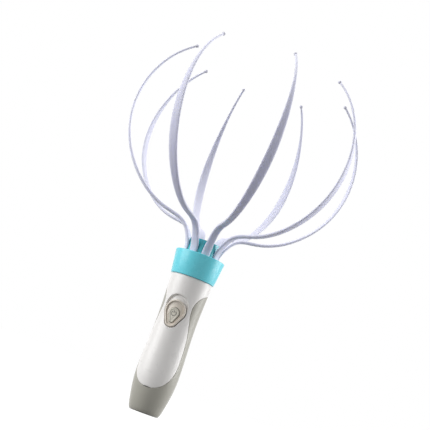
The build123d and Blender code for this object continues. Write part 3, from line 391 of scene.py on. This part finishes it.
def curve_through(points, samples):
    """A smooth curve through points: its points and its directions at shares of its parameter."""
    points = np.asarray(points, float)
    steps = np.linalg.norm(np.diff(points, axis=0), axis=1)
    knots = np.concatenate([[0.0], np.cumsum(steps)])
    count = len(knots)
    matrix = np.zeros((count, count))
    wanted = np.zeros_like(points)
    matrix[0, 0] = matrix[-1, -1] = 1.0
    wanted[0] = end_slope(knots[:4], points[:4], knots[0])
    wanted[-1] = end_slope(knots[-4:], points[-4:], knots[-1])
    for i in range(1, count - 1):
        before, after = steps[i - 1], steps[i]
        matrix[i, i - 1:i + 2] = after, 2 * (before + after), before
        arriving, leaving = (points[i] - points[i - 1]) / before, (points[i + 1] - points[i]) / after
        wanted[i] = 3 * (after * arriving + before * leaving)
    slopes = np.linalg.solve(matrix, wanted)
    where = np.asarray(samples, float) * knots[-1]
    span = np.clip(np.searchsorted(knots, where, side="right") - 1, 0, count - 2)
    size = steps[span][:, None]
    t = (where - knots[span])[:, None] / size
    p0, p1, m0, m1 = points[span], points[span + 1], slopes[span] * size, slopes[span + 1] * size
    start, leave, end, arrive = cubic_weights(t)
    places = p0 * start + m0 * leave + p1 * end + m1 * arrive
    along = (p0 * (6 * t * t - 6 * t) + m0 * (3 * t * t - 4 * t + 1)
             + p1 * (6 * t - 6 * t * t) + m1 * (3 * t * t - 2 * t)) / size
    return places, along / np.linalg.norm(along, axis=1)[:, None]


def smooth_between(places, values, at):
    """Values carried smoothly between places, without overshoot."""
    slopes = np.diff(values) / np.diff(places)
    product = slopes[1:] * slopes[:-1]
    joint = np.where(product > 0, 2 * product / (slopes[1:] + slopes[:-1] + 1e-12), 0)
    rate = np.concatenate([[slopes[0]], joint, [slopes[-1]]])
    n = np.clip(np.searchsorted(places, at, side="right") - 1, 0, len(places) - 2)
    step = places[n + 1] - places[n]
    start, leave, end, arrive = cubic_weights((at - places[n]) / step)
    return values[n] * start + rate[n] * step * leave + values[n + 1] * end + rate[n + 1] * step * arrive


def ring(radius, z, turns):
    """A level ring of points, or part of one. Turns count from the front, towards +X."""
    return np.column_stack([radius * np.sin(turns), -radius * np.cos(turns), np.full(len(turns), z)])


def hoop(centre, first, second, radius):
    """A ring of points about a centre, in the plane of two directions."""
    return centre + first * (radius * np.cos(ring_turns))[:, None] \
        + second * (radius * np.sin(ring_turns))[:, None]


def handle_rows(heights, turns):
    """Rows of points on the handle's surface."""
    return [ring(radius_at(z), z, turns) for z in heights]


def turns_about(middle, reach, step):
    """Turns to both sides of a middle one, from degrees."""
    return np.radians(np.arange(middle - reach, middle + reach + 0.1, step))


def net(rows, closed):
    """Points and faces of rows of points that run anticlockwise seen from above, from the bottom up."""
    count = len(rows[0])
    points = np.concatenate([np.asarray(row, float) for row in rows])
    faces = []
    for low in range(0, (len(rows) - 1) * count, count):
        for c in range(count if closed else count - 1):
            d = (c + 1) % count
            faces.append([low + c, low + d, low + count + d, low + count + c])
    return points, faces


def joined(points, faces, more_points, more_faces):
    """Two meshes as one."""
    return np.vstack([points, more_points]), faces + [[v + len(points) for v in face] for face in more_faces]


def on_handle(points):
    """Points moved level onto the handle's surface."""
    scale = radius_at(points[:, 2]) / np.hypot(points[:, 0], points[:, 1])
    return np.column_stack([points[:, 0] * scale, points[:, 1] * scale, points[:, 2]])


def sunk(points, depth):
    """Points moved in level towards the handle's axis."""
    scale = 1 - depth / np.hypot(points[:, 0], points[:, 1])
    return np.column_stack([points[:, 0] * scale, points[:, 1] * scale, points[:, 2]])


def pressed(points, depth):
    """Points moved straight back from the front, to a depth under the handle's surface."""
    room = (radius_at(points[:, 2]) - depth) ** 2 - points[:, 0] ** 2
    return np.column_stack([points[:, 0], -np.sqrt(np.clip(room, 0.01, None)), points[:, 2]])


def crossed_once(faces, height):
    """Faces, with those that a line would cross twice made triangles."""
    simple = []
    for face in faces:
        above = [height[v] > 0 for v in face if height[v]]
        crossings = sum(a != b for a, b in zip(above, above[1:] + above[:1]))
        simple += [face] if crossings < 4 else [[face[0], b, c] for b, c in zip(face[1:], face[2:])]
    return simple


def cut(points, faces, field, level, side=0):
    """Cut faces along the line where a field has a level. Side 1 or -1 keeps that side, 0 keeps both."""
    height = field(points) - level
    height[np.abs(height) < snap] = 0.0
    faces = crossed_once(faces, height)
    ends = set()
    for face in faces:
        for a, b in zip(face, face[1:] + face[:1]):
            if height[a] * height[b] < 0:
                ends.add((min(a, b), max(a, b)))
    ends = sorted(ends)
    born = {pair: len(points) + n for n, pair in enumerate(ends)}
    if ends:
        first, last = np.array(ends).T
        a, b, ha, hb = points[first], points[last], height[first], height[last]
        for _ in range(3):          # each new point nears its line on the curved surface
            t = (ha / (ha - hb))[:, None]
            middle = on_handle(a + (b - a) * t)
            hm = field(middle) - level
            same = (hm * ha > 0)
            beyond = np.where(hm == 0, -1e-9 * np.sign(ha), hm)
            a, ha = np.where(same[:, None], middle, a), np.where(same, hm, ha)
            b, hb = np.where(same[:, None], b, middle), np.where(same, hb, beyond)
        points = np.vstack([points, middle])
    kept = []
    for face in faces:
        values = [height[v] for v in face]
        if min(values) >= 0:
            if side >= 0:
                kept.append(face)
            continue
        if max(values) <= 0:
            if side <= 0:
                kept.append(face)
            continue
        above, below = [], []
        for a, b in zip(face, face[1:] + face[:1]):
            if height[a] >= 0:
                above.append(a)
            if height[a] <= 0:
                below.append(a)
            if height[a] * height[b] < 0:
                born_here = born[(min(a, b), max(a, b))]
                above.append(born_here)
                below.append(born_here)
        if side >= 0 and len(above) > 2:
            kept.append(above)
        if side <= 0 and len(below) > 2:
            kept.append(below)
    return points, kept


def cut_many(points, faces, field, levels):
    """Lay lines along several levels of a field."""
    for level in levels:
        points, faces = cut(points, faces, field, level)
    return points, faces


def used(points, faces):
    """Drop the points that no face uses."""
    order = sorted({v for face in faces for v in face})
    place = {v: n for n, v in enumerate(order)}
    return points[order], [[place[v] for v in face] for face in faces]


def thick(outer, inner, faces):
    """A closed wall between an outer and an inner skin that share their faces."""
    count = len(outer)
    directed = {(a, b) for face in faces for a, b in zip(face, face[1:] + face[:1])}
    sides = [[b, a, a + count, b + count] for a, b in directed if (b, a) not in directed]
    back = [[v + count for v in reversed(face)] for face in faces]
    return np.vstack([outer, inner]), [list(f) for f in faces] + back + sides


def welded(points, faces):
    """Points that coincide made one, and the faces that they fold up dropped."""
    keys, place, kept = {}, [], []
    for n, key in enumerate(map(tuple, np.round(points, 4))):
        if key not in keys:
            keys[key] = len(kept)
            kept.append(n)
        place.append(keys[key])
    tidy = []
    for face in faces:
        loop = [place[v] for v in face]
        loop = [v for n, v in enumerate(loop) if v != loop[n - 1]]
        if len(set(loop)) > 2:
            tidy.append(loop)
    return points[kept], tidy


def rounding(distance, radius):
    """Depth of a rounded edge at distances from it."""
    near = np.clip(radius - distance, 0, radius)
    return radius - np.sqrt(radius ** 2 - near ** 2)


def edge_levels(start, size, turn=edge_turn):
    """Distances at which a rounded edge needs lines."""
    return [start + size * t for t in turn]


def drop(distance, depth, edge, fillet, lean=wall_lean):
    """Depth of a step down: a rounded edge, a steep wall and a filleted foot, by distance past its brow."""
    over = edge - np.sqrt(edge ** 2 - np.clip(distance, 0, edge) ** 2)
    fall = (depth - fillet - edge) * np.clip((distance - edge) / lean, 0, 1)
    left = fillet - np.clip(distance - edge - lean, 0, fillet)
    foot = np.sqrt(fillet ** 2 - left ** 2)
    return over + fall + foot


def drop_levels(brow, edge, fillet, lean=wall_lean):
    """Distances at which a step needs lines: round its edge, down its wall and round its foot."""
    return [brow - edge * t for t in drop_turn] \
        + [brow - edge - lean - fillet * (1 - t) for t in reversed(drop_turn)]


def teardrop(form):
    """Signed distance, negative inside, from a wide circle hulled with a narrow one below, on the front."""
    wide_r, wide_z, narrow_r, narrow_z = form
    length = wide_z - narrow_z
    lean = (wide_r - narrow_r) / length
    rise = np.sqrt(1 - lean ** 2)

    def distance(points):
        x, y = np.abs(points[:, 0]), wide_z - points[:, 2]
        k = rise * y - lean * x
        side = lean * y + rise * x - wide_r
        inside = np.where(k < 0, np.hypot(x, y) - wide_r, side)
        inside = np.where(k > rise * length, np.hypot(x, y - length) - narrow_r, inside)
        return np.where(points[:, 1] < 0, inside, far)
    return distance


in_pocket, in_bezel, in_island = teardrop(pocket), teardrop(bezel), teardrop(island)
in_ditch = teardrop((bezel[0] + ditch_width, bezel[1] - 0.1, bezel[2] + ditch_width, bezel[3] - 0.3))


def in_recess(points):
    """Signed distance, negative inside, from the pocket joined with the ditch round the bezel."""
    return np.minimum(in_pocket(points), in_ditch(points - [ditch_shift, 0, 0]))


# ---- Seam: its line on the handle, and the distance from it, positive on the front shell ----
line_samples = np.linspace(0, 1, 4001)
seam_count, coarse_step, exact_within, batch = 320, 16, 6.0, 2000
side_line = np.array([(share * radius_at(z), z) for share, z in seam_stations])
side_line = curve_through(side_line, line_samples)[0]
reached = np.abs(side_line[:, 0]) < radius_at(side_line[:, 1])
seam_y, seam_z = side_line[reached].T
seam_x = np.sqrt(radius_at(seam_z) ** 2 - seam_y ** 2)
seam_line = np.column_stack([seam_x, seam_y, seam_z])
seam_line[0, 0] = seam_line[-1, 0] = 0.0
gone = np.concatenate([[0.0], np.cumsum(np.linalg.norm(np.diff(seam_line, axis=0), axis=1))])
even = np.linspace(0, gone[-1], seam_count)
seam_line = np.column_stack([np.interp(even, gone, seam_line[:, n]) for n in range(3)])


def from_seam(points):
    """Distance from the seam, positive on the front shell's side, exact near it and coarse far away."""
    spot = np.column_stack([np.abs(points[:, 0]), points[:, 1], points[:, 2]])
    parting = np.interp(points[:, 2], side_line[::-1, 1], side_line[::-1, 0])
    parting = np.where(points[:, 2] > side_line[0, 1], far, parting)
    parting = np.where(points[:, 2] < side_line[-1, 1], -far, parting)
    coarse = seam_line[::coarse_step]
    gap = np.sqrt(((spot[:, None] - coarse[None]) ** 2).sum(-1)).min(1)
    near = gap < exact_within
    start, run = seam_line[:-1], np.diff(seam_line, axis=0)
    length = (run ** 2).sum(-1)
    for n in np.array_split(np.flatnonzero(near), max(1, near.sum() // batch)):
        away = spot[n][:, None] - start[None]
        t = np.clip((away * run[None]).sum(-1) / length, 0, 1)
        gap[n] = np.sqrt(((away - run[None] * t[..., None]) ** 2).sum(-1)).min(1)
    return np.where(points[:, 1] < parting, gap, -gap)


# ---- Front shell, with the spigot that carries the collar ----
front_low = 19.0
neck_rows = neck_z - neck_edge * np.array([1.6, 1.0, 0.6, 0.3, 0.1, 0.0])
heights = np.concatenate([np.arange(front_low, neck_z - 2 * neck_edge, row_step), neck_rows])
points, faces = net(handle_rows(heights, full_turn), True)
points, faces = cut(points, faces, from_seam, seam_gap, 1)
points, faces = cut_many(points, faces, from_seam, edge_levels(seam_gap, seam_edge))
points, faces = cut(points, faces, in_bezel, bezel_gap, 1)
pocket_levels = drop_levels(pocket_brow, pocket_lip, pocket_foot, pocket_lean)
points, faces = cut_many(points, faces, in_recess, pocket_levels)
points, faces = used(points, faces)
depth = rounding(from_seam(points) - seam_gap, seam_edge) + rounding(neck_z - points[:, 2], neck_edge)
sink = drop(pocket_brow - in_recess(points), pocket_depth, pocket_lip, pocket_foot, pocket_lean)
outer = np.where((sink > 0)[:, None], pressed(points, sink), sunk(points, depth))
# The inner wall passes behind the bezel, and eases into the round wall within 3 mm of the pocket
behind_gap, ease_reach, ease_width = 0.2, 3.0, 2.5
near = np.clip((ease_reach - in_recess(points)) / ease_width, 0, 1)[:, None]
inner = sunk(points, wall)
any_front_point = [0, -15, 80]            # keeps the press within the handle where it isn't used
behind = pressed(np.where(near > 0, points, any_front_point), bezel_thickness + behind_gap)
inner = np.where(near > 0, inner * (1 - near) + behind * near, inner)
points, faces = thick(outer, inner, faces)
spigot_low, spigot_top, spigot_bore = neck_z - spigot_root, neck_z + spigot_height, spigot_r - spigot_wall
spigot_outline = [
    (spigot_r, spigot_low), (spigot_r, spigot_top), (spigot_bore, spigot_top),
    (spigot_bore, spigot_low), (spigot_r, spigot_low),
]
spigot = welded(*net([ring(r, z, full_turn) for r, z in spigot_outline], True))
add_piece("front_casing", *joined(points, faces, *spigot), [white_abs], "handle", ["front_shell"],
          "white_shell")


# ---- Battery door's outline on the back ----
def in_door(points):
    """Signed distance, negative inside, from the door's outline on the back."""
    side = np.abs(points[:, 0]) - (door_half - door_corner)
    reach = np.hypot(points[:, 1] - radius_at(door_z), points[:, 2] - door_z)
    along = np.where(points[:, 2] > door_z, reach, points[:, 2] - door_z)
    end = np.abs(along - door_length / 2) - (door_length / 2 - door_corner)
    outside = np.hypot(np.clip(side, 0, None), np.clip(end, 0, None))
    distance = outside + np.minimum(np.maximum(side, end), 0) - door_corner
    return np.where(points[:, 1] > 4.0, distance, far)


# ---- Rear shell, with its foot ----
rear_top = 101.5
heel_rows = heel_z * np.linspace(0, 1, 9)[:-1] ** 2
heights = np.concatenate([heel_rows, np.arange(heel_z, rear_top, row_step)])
points, faces = net(handle_rows(heights, full_turn), True)
points, faces = cut(points, faces, from_seam, 0.0, -1)
points, faces = cut_many(points, faces, from_seam, edge_levels(0.0, -seam_edge))
points, faces = cut(points, faces, in_door, door_gap, 1)
points, faces = cut_many(points, faces, in_door, edge_levels(door_gap, seam_edge))
points, faces = used(points, faces)
foot_rows = [ring(r, 0.0, full_turn) for r in base_r * np.array([0.0, 0.3, 0.6, 0.85, 0.97])]
foot = net(foot_rows + handle_rows([0.0], full_turn), True)
points, faces = welded(*joined(points, faces, *foot))
depth = rounding(-from_seam(points), seam_edge) + rounding(in_door(points) - door_gap, seam_edge)
off_axis = [10, 0, 0]                     # stands in for the foot's middle, which has no way to sink
at_edge = (depth > 0)[:, None]
outer = np.where(at_edge, sunk(np.where(at_edge, points, off_axis), depth), points)
floor_top = 8.0                           # the floor inside rises to the wall's own heights by here
lifted = np.where(points[:, 2] < floor_top, wall + (1 - wall / floor_top) * points[:, 2], points[:, 2])
scale = (radius_at(lifted) - wall) / radius_at(points[:, 2])
inner = np.column_stack([points[:, 0] * scale, points[:, 1] * scale, lifted])
points, faces = thick(outer, inner, faces)
add_piece("rear_casing", points, faces, [grey_abs], "handle", ["rear_shell"], "grey_shell")

# ---- Battery cover: its skin, its hooks below and its nose above ----
door_turns = turns_about(180, 52, 2.6)
below_latch, above_door = np.arange(13.0, 56.2, row_step), np.arange(62.5, 64.6, 0.5)
beside_slits = np.arange(56.5, 62.4, 0.2)         # closer, because the slits are narrow
heights = np.concatenate([below_latch, beside_slits, above_door])
points, faces = net(handle_rows(heights, door_turns), False)
points, faces = cut(points, faces, in_door, 0.0, -1)
points, faces = cut_many(points, faces, in_door, edge_levels(0.0, -seam_edge))


def from_slits(points):
    """Distance from the two slits beside the latch."""
    off = np.abs(np.abs(points[:, 0]) - latch_half - latch_slit / 2) - latch_slit / 2
    return np.maximum(off, door_z + door_length - latch_length - points[:, 2])


slit_edge = 0.15
points, faces = cut(points, faces, from_slits, 0.0, 1)
points, faces = cut_many(points, faces, from_slits, [0.03, 0.09, slit_edge])
points, faces = used(points, faces)
depth = rounding(-in_door(points), seam_edge) + rounding(from_slits(points), slit_edge)
points, faces = thick(sunk(points, depth), sunk(points, door_thickness), faces)


def skin_block(x0, x1, z0, z1, shallow, deep):
    """A block that follows the handle's back between two depths."""
    rows_out, rows_in = [], []
    xs, zs = np.linspace(x1, x0, 7), np.linspace(z0, z1, 5)
    for z in zs:
        for rows, depth in ((rows_out, shallow), (rows_in, deep)):
            ys = np.sqrt((radius_at(z) - depth) ** 2 - xs ** 2)
            rows.append(np.column_stack([xs, ys, np.full(len(xs), z)]))
    outer, faces = net(rows_out, False)
    return thick(outer, np.concatenate(rows_in), faces)


for side in (-1, 1):
    hook_left, hook_right = side * hook_x - hook_half, side * hook_x + hook_half
    for low, shallow, deep in ((-2.2, 2.3, 3.3), (0.05, 0.8, 3.2)):      # a hook's tongue, then its root
        hook = skin_block(hook_left, hook_right, door_z + low, door_z + hook_top, shallow, deep)
        points, faces = joined(points, faces, *hook)
door_top = door_z + door_length
nose = skin_block(-nose_half, nose_half, door_top - nose_low, door_top - nose_high, 0.8, 2.4)
add_piece("battery_cover", *joined(points, faces, *nose), [grey_abs], "door", ["battery_door"], "grey_shell")


# ---- Grip on the cover's latch: rounded bars, one above another, each bent round the handle ----
def grip_tree(material):
    """Geometry Nodes: an arc swept with a circle that narrows at its ends, repeated up a line."""
    arc_steps, circle_steps = 61, 16
    end_fall = 0.98                       # the ends stop short of a point, and caps close them
    tree = bpy.data.node_groups.new("grip_bars", "GeometryNodeTree")
    for name, kind in (
        ("Bars", "NodeSocketInt"), ("Pitch", "NodeSocketFloat"), ("Lowest", "NodeSocketFloat"),
        ("Bend Radius", "NodeSocketFloat"), ("Bar Radius", "NodeSocketFloat"), ("Spread", "NodeSocketFloat"),
        ("End Share", "NodeSocketFloat"),
    ):
        tree.interface.new_socket(name, in_out="INPUT", socket_type=kind)
    tree.interface.new_socket("Geometry", in_out="OUTPUT", socket_type="NodeSocketGeometry")
    size = add_node(tree, "NodeGroupInput").outputs
    half = add_node(tree, "ShaderNodeMath", {0: size["Spread"], 1: 0.5}, operation="MULTIPLY")
    start = add_node(tree, "ShaderNodeMath", {0: pi / 2, 1: half.outputs[0]}, operation="SUBTRACT")
    arc = add_node(tree, "GeometryNodeCurveArc", {
        "Resolution": arc_steps, "Radius": size["Bend Radius"], "Start Angle": start.outputs[0],
        "Sweep Angle": size["Spread"],
    }, mode="RADIUS")
    share = add_node(tree, "GeometryNodeSplineParameter")
    off = add_node(tree, "ShaderNodeMath", {0: share.outputs["Factor"], 1: 0.5}, operation="SUBTRACT")
    away = add_node(tree, "ShaderNodeMath", {0: off.outputs[0]}, operation="ABSOLUTE")
    brow = add_node(tree, "ShaderNodeMath", {0: 0.5, 1: size["End Share"]}, operation="SUBTRACT")
    past = add_node(tree, "ShaderNodeMapRange", {
        "Value": away.outputs[0], "From Min": brow.outputs[0], "From Max": 0.5,
        "To Min": 0.0, "To Max": end_fall,
    })
    square = add_node(tree, "ShaderNodeMath", {0: past.outputs["Result"], 1: 2.0}, operation="POWER")
    left = add_node(tree, "ShaderNodeMath", {0: 1.0, 1: square.outputs[0]}, operation="SUBTRACT")
    taper = add_node(tree, "ShaderNodeMath", {0: left.outputs[0]}, operation="SQRT")
    spine = add_node(tree, "GeometryNodeSetCurveRadius", {
        "Curve": arc.outputs["Curve"], "Radius": taper.outputs[0],
    })
    circle = add_node(tree, "GeometryNodeCurvePrimitiveCircle", {
        "Resolution": circle_steps, "Radius": size["Bar Radius"],
    })
    bar = add_node(tree, "GeometryNodeCurveToMesh", {
        "Curve": spine.outputs["Curve"], "Profile Curve": circle.outputs["Curve"], "Fill Caps": True,
    })
    first = add_node(tree, "ShaderNodeCombineXYZ", {"Z": size["Lowest"]})
    step = add_node(tree, "ShaderNodeCombineXYZ", {"Z": size["Pitch"]})
    line = add_node(tree, "GeometryNodeMeshLine", {
        "Count": size["Bars"], "Start Location": first.outputs[0], "Offset": step.outputs[0],
    })
    bars = add_node(tree, "GeometryNodeInstanceOnPoints", {
        "Points": line.outputs["Mesh"], "Instance": bar.outputs["Mesh"],
    })
    real = add_node(tree, "GeometryNodeRealizeInstances", {"Geometry": bars.outputs["Instances"]})
    smooth = add_node(tree, "GeometryNodeSetShadeSmooth", {"Geometry": real.outputs["Geometry"]})
    dressed = add_node(tree, "GeometryNodeSetMaterial", {
        "Geometry": smooth.outputs["Geometry"], "Material": material,
    })
    add_node(tree, "NodeGroupOutput", {"Geometry": dressed.outputs["Geometry"]})
    return tree


def grown(name, tree, sizes):
    """A plain mesh object made by a Geometry Nodes tree from its named sizes."""
    piece = bpy.data.objects.new(name, bpy.data.meshes.new(name))
    bpy.context.scene.collection.objects.link(piece)
    modifier = piece.modifiers.new(name, "NODES")
    modifier.node_group = tree
    for socket in tree.interface.items_tree:
        if socket.name in sizes:
            modifier[socket.identifier] = sizes[socket.name]
    made = bpy.data.meshes.new_from_object(piece.evaluated_get(bpy.context.evaluated_depsgraph_get()))
    piece.modifiers.clear()
    finishes = [finish for finish in made.materials if finish]      # the tree leaves an empty slot first
    made.materials.clear()
    for finish in finishes:
        made.materials.append(finish)
    piece.data = made
    return piece


grip_middle = door_z + door_length - latch_length / 2
grip_bend = float(radius_at(grip_middle)) + grip_proud - grip_r
grip = grown("cover_grip", grip_tree(grey_abs), {
    "Bars": grip_bars, "Pitch": grip_pitch * mm,
    "Lowest": (grip_middle - grip_pitch * (grip_bars - 1) / 2) * mm,
    "Bend Radius": grip_bend * mm, "Bar Radius": grip_r * mm, "Spread": 2 * grip_half / grip_bend,
    "End Share": grip_end,
})
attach(grip, "door")


# ---- Button bezel: rounded rim, then a dish round the button ----
def teardrop_rows(form, below, above, step):
    """Heights from below a teardrop's narrow end to above its wide one."""
    wide_r, wide_z, narrow_r, narrow_z = form
    return np.arange(narrow_z - narrow_r - below, wide_z + wide_r + above, step)


points, faces = net(handle_rows(teardrop_rows(bezel, 0.8, 1.2, 0.4), turns_about(0, 38, 1.6)), False)
points, faces = cut(points, faces, in_bezel, 0.0, -1)
points, faces = cut_many(points, faces, in_bezel, edge_levels(0.0, -rim_edge))
dish_brow = -bezel_rim + dish_edge
points, faces = cut_many(points, faces, in_bezel, drop_levels(dish_brow, dish_edge, dish_foot))
points, faces = cut(points, faces, in_island, button_gap, 1)
hole_levels = edge_levels(button_gap, island_hole_edge, (0.15, 0.5, 1.0))
points, faces = cut_many(points, faces, in_island, hole_levels)
points, faces = used(points, faces)
depth = rounding(-in_bezel(points), rim_edge) - bezel_proud
depth += drop(dish_brow - in_bezel(points), bezel_dish + bezel_proud, dish_edge, dish_foot)
depth += rounding(in_island(points) - button_gap, island_hole_edge)
points, faces = thick(pressed(points, depth), pressed(points, bezel_thickness), faces)
add_piece("button_surround", points, faces, [beige_abs], "handle", ["button_bezel"], "beige_bezel")


# ---- Power button: a rim round a shallow hollow, with the raised sign in it ----
def from_sign(points):
    """Signed distance, negative inside, from a broken ring with a bar through its gap."""
    x, z = np.abs(points[:, 0]), points[:, 2] - sign_z
    turn = np.arctan2(x, z)
    end = np.hypot(x - sign_r * sin(sign_gap), z - sign_r * cos(sign_gap))
    broken_ring = np.where(turn > sign_gap, np.abs(np.hypot(x, z) - sign_r), end)
    bar = np.hypot(x, z - np.clip(z, *sign_bar))
    return np.minimum(broken_ring, bar) - sign_half


points, faces = net(handle_rows(teardrop_rows(island, 0.5, 0.75, 0.25), turns_about(0, 18, 1.0)), False)
points, faces = cut(points, faces, in_island, 0.0, -1)
points, faces = cut_many(points, faces, in_island, edge_levels(0.0, -island_edge))
points, faces = cut_many(points, faces, in_island, drop_levels(hollow_brow, hollow_edge, hollow_foot))
points, faces = cut_many(points, faces, from_sign, [0.0, -sign_slope])
points, faces = used(points, faces)
centres = np.array([points[face].mean(0) for face in faces])
sign_marks = (from_sign(centres) < 0).astype(int).tolist()
depth = button_inset + rounding(-in_island(points), island_edge)
depth += drop(hollow_brow - in_island(points), hollow_depth, hollow_edge, hollow_foot)
depth -= sign_height * np.clip(-from_sign(points) / sign_slope, 0, 1)
points, faces = thick(pressed(points, depth), pressed(points, button_inset + button_depth), faces)
sign_marks += [0] * (len(faces) - len(sign_marks))
add_piece("button_island", points, faces, [button_rubber, sign_paint], "button", ["power_button"],
          "beige_button", marks=sign_marks)


# ---- Collar, turned ----
def rounded_outline(corners, steps=6):
    """A closed outline from (radius, height, rounding) corners."""
    outline = []
    for n, (x, z, size) in enumerate(corners):
        here = np.array([x, z])
        before, after = np.array(corners[n - 1][:2]), np.array(corners[(n + 1) % len(corners)][:2])
        to_before = (before - here) / np.hypot(*(before - here))
        to_after = (after - here) / np.hypot(*(after - here))
        half = np.arccos(np.clip(to_before @ to_after, -1, 1)) / 2
        reach = size / np.tan(half)
        middle = here + (to_before + to_after) / np.linalg.norm(to_before + to_after) * size / np.sin(half)
        start, end = here + to_before * reach - middle, here + to_after * reach - middle
        spread = pi - 2 * half
        for step in range(steps + 1):
            t = step / steps
            outline.append(middle + (start * sin((1 - t) * spread) + end * sin(t * spread)) / sin(spread))
    return outline


def lathe(outline, count=160):
    """A ring turned from a closed outline that runs anticlockwise in (radius, height)."""
    turns = np.arange(count) * 2 * pi / count
    rows = [ring(r, z, turns) for r, z in outline]
    return net(rows + [rows[0]], True)


collar_seat_r = spigot_r + collar_fit
collar_outline = rounded_outline([
    (collar_seat_r, collar_z, 0.1), (collar_bottom_r, collar_z, 0.45), (collar_top_r, collar_top, 0.5),
    (collar_top_r - collar_lip, collar_top, 0.5), (collar_bore_r, crown_top_z, 0.4),
    (collar_bore_r, crown_foot_z, 0.1), (collar_seat_r, crown_foot_z, 0.1),
])
points, faces = welded(*lathe(collar_outline))
add_piece("collar", points, faces, [teal_acrylic], "handle", ["collar_ring"], "teal_collar")


# ---- Claws: a flat blade bent along its line, a bead that it rocks on and a bead on its tip ----
def claw_frame(k):
    """A claw's foot, its outward direction and its sideways direction."""
    turn = radians(claw_start + 360 / claw_count * k)
    outward = np.array([sin(turn), -cos(turn), 0.0])
    return outward * claw_ring_r + np.array([0, 0, pivot_z]), outward, np.array([cos(turn), sin(turn), 0.0])


def turned(first, second, angle):
    """Two parts of an offset after a turn in their plane."""
    return first * cos(angle) + second * sin(angle), second * cos(angle) - first * sin(angle)


def set_turn(blade_set, outward, sideways, upward):
    """Turn an offset from the neck by a claw's own set: outwards, sideways, then twist."""
    lean, tilt, twist = (radians(angle) for angle in blade_set)
    outward, upward = turned(outward, upward, lean)
    sideways, upward = turned(sideways, upward, tilt)
    outward, sideways = turned(outward, sideways, -twist)
    return outward, sideways, upward


def claw_path(k, samples):
    """Points and directions along a claw's middle line, and the direction across its blade."""
    foot, outward, sideways = claw_frame(k)
    upward = np.array([0.0, 0.0, 1.0])
    neck = foot + upward * neck_lift
    line = [foot + upward * neck_lift * n / root_spans for n in range(root_spans)] + [neck]
    for out, height in blade_points:
        o, s, u = set_turn(blade_sets[k], out, 0.0, height - neck_lift)
        line.append(neck + outward * o + sideways * s + upward * u)
    o, s, u = set_turn(blade_sets[k], 0.0, 1.0, 0.0)
    places, along = curve_through(line, samples)
    return places, along, outward * o + sideways * s + upward * u


def strip(half_width, half_thickness):
    """A blade's section: an oval squared up by the blade's flatness."""
    across, through = np.cos(ring_turns), np.sin(ring_turns)
    power = 2 / blade_flatness
    return (half_width * np.sign(across) * np.abs(across) ** power,
            half_thickness * np.sign(through) * np.abs(through) ** power)


neck_share = 0.12                         # the part of a blade that gets closer rows
share, width, thickness = np.array(blade_sections).T
blade_steps = np.concatenate([np.linspace(0, neck_share, 10)[:-1], np.linspace(neck_share, 1.0, 110)])
half_widths = smooth_between(share, width, blade_steps) / 2
half_thicks = smooth_between(share, thickness, blade_steps) / 2
own_turn = np.clip((blade_steps - level_until) / level_fade, 0, 1)[:, None]
bead_half, bead_flank = foot_bead_width / 2, foot_bead_width / 2 - foot_bead_edge
bead_outline = [
    (-bead_half, 0.0), (-bead_half, foot_bead_r - foot_bead_edge), (-bead_flank, foot_bead_r),
    (bead_flank, foot_bead_r), (bead_half, foot_bead_r - foot_bead_edge), (bead_half, 0.0),
]
tip_turns = np.radians(np.linspace(-90, 90, 17))
for k in range(claw_count):
    foot, outward, sideways = claw_frame(k)
    places, along, across_blade = claw_path(k, blade_steps)
    level = sideways * (1 - own_turn) + across_blade * own_turn
    flat = level - along * (level * along).sum(1)[:, None]
    flat /= np.linalg.norm(flat, axis=1)[:, None]
    face_way = np.cross(along, flat)
    rows = []
    for n in range(len(places)):
        x, y = strip(half_widths[n], half_thicks[n])
        rows.append(places[n] + flat[n] * x[:, None] + face_way[n] * y[:, None])
    rows = [np.tile(places[0], (ring_count, 1))] + rows + [np.tile(places[-1], (ring_count, 1))]
    points, faces = welded(*net(rows, True))
    upward = np.array([0, 0, 1])
    bead = [hoop(foot + sideways * s, outward, upward, r) for s, r in bead_outline]
    bead_points, bead_faces = welded(*net(bead, True))
    bead_faces = [face[::-1] for face in bead_faces]
    add_piece(f"claw_blade_{k + 1}", *joined(points, faces, bead_points, bead_faces), [claw_nylon],
              f"claw_arm_{k + 1}", [f"claw_{k + 1}"], "claw_plastic")
    end, way, out_way, side_way = places[-1], along[-1], flat[-1], face_way[-1]
    base = np.sqrt(tip_r ** 2 - tip_lift ** 2)
    rows = [hoop(end, out_way, side_way, 0.0), hoop(end, out_way, side_way, base)]
    for a in tip_turns:
        lift = tip_lift + tip_r * sin(a)
        if lift >= 0:
            rows.append(hoop(end + way * lift, out_way, side_way, tip_r * cos(a)))
    points, faces = welded(*net(rows, True))
    add_piece(f"claw_bead_{k + 1}", points, faces, [tip_nylon], f"claw_arm_{k + 1}", [f"claw_tip_{k + 1}"],
              "tip_plastic")

# ---- Pieces that keep their CAD form ----
finishes = {
    "claw_hub": crown_acrylic, "claw_retainer": crown_acrylic,
    "switch_board": glass_epoxy, "tact_switch": black_plastic, "switch_pin": white_nylon,
    "battery_tray": black_plastic, "battery_1": cell_sleeve, "battery_2": cell_sleeve,
    "contact_bridge": nickel_plate, "contact_positive": nickel_plate, "contact_negative": nickel_plate,
    "battery_springs": nickel_plate, "motor_can": steel_can, "motor_end_cap": white_nylon,
    "motor_magnets": ferrite, "motor_terminals": nickel_plate, "motor_rotor": copper_wire,
    "motor_shaft": zinc_steel, "eccentric_weight": brass, "motor_cradle": white_nylon,
    "housing_screws": zinc_steel, "retainer_screws": zinc_steel,
    "battery_leads": red_pvc, "motor_leads": red_pvc,
}
for name, finish in finishes.items():
    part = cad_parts[name]
    part.data.materials.clear()
    part.data.materials.append(finish)

low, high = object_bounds()
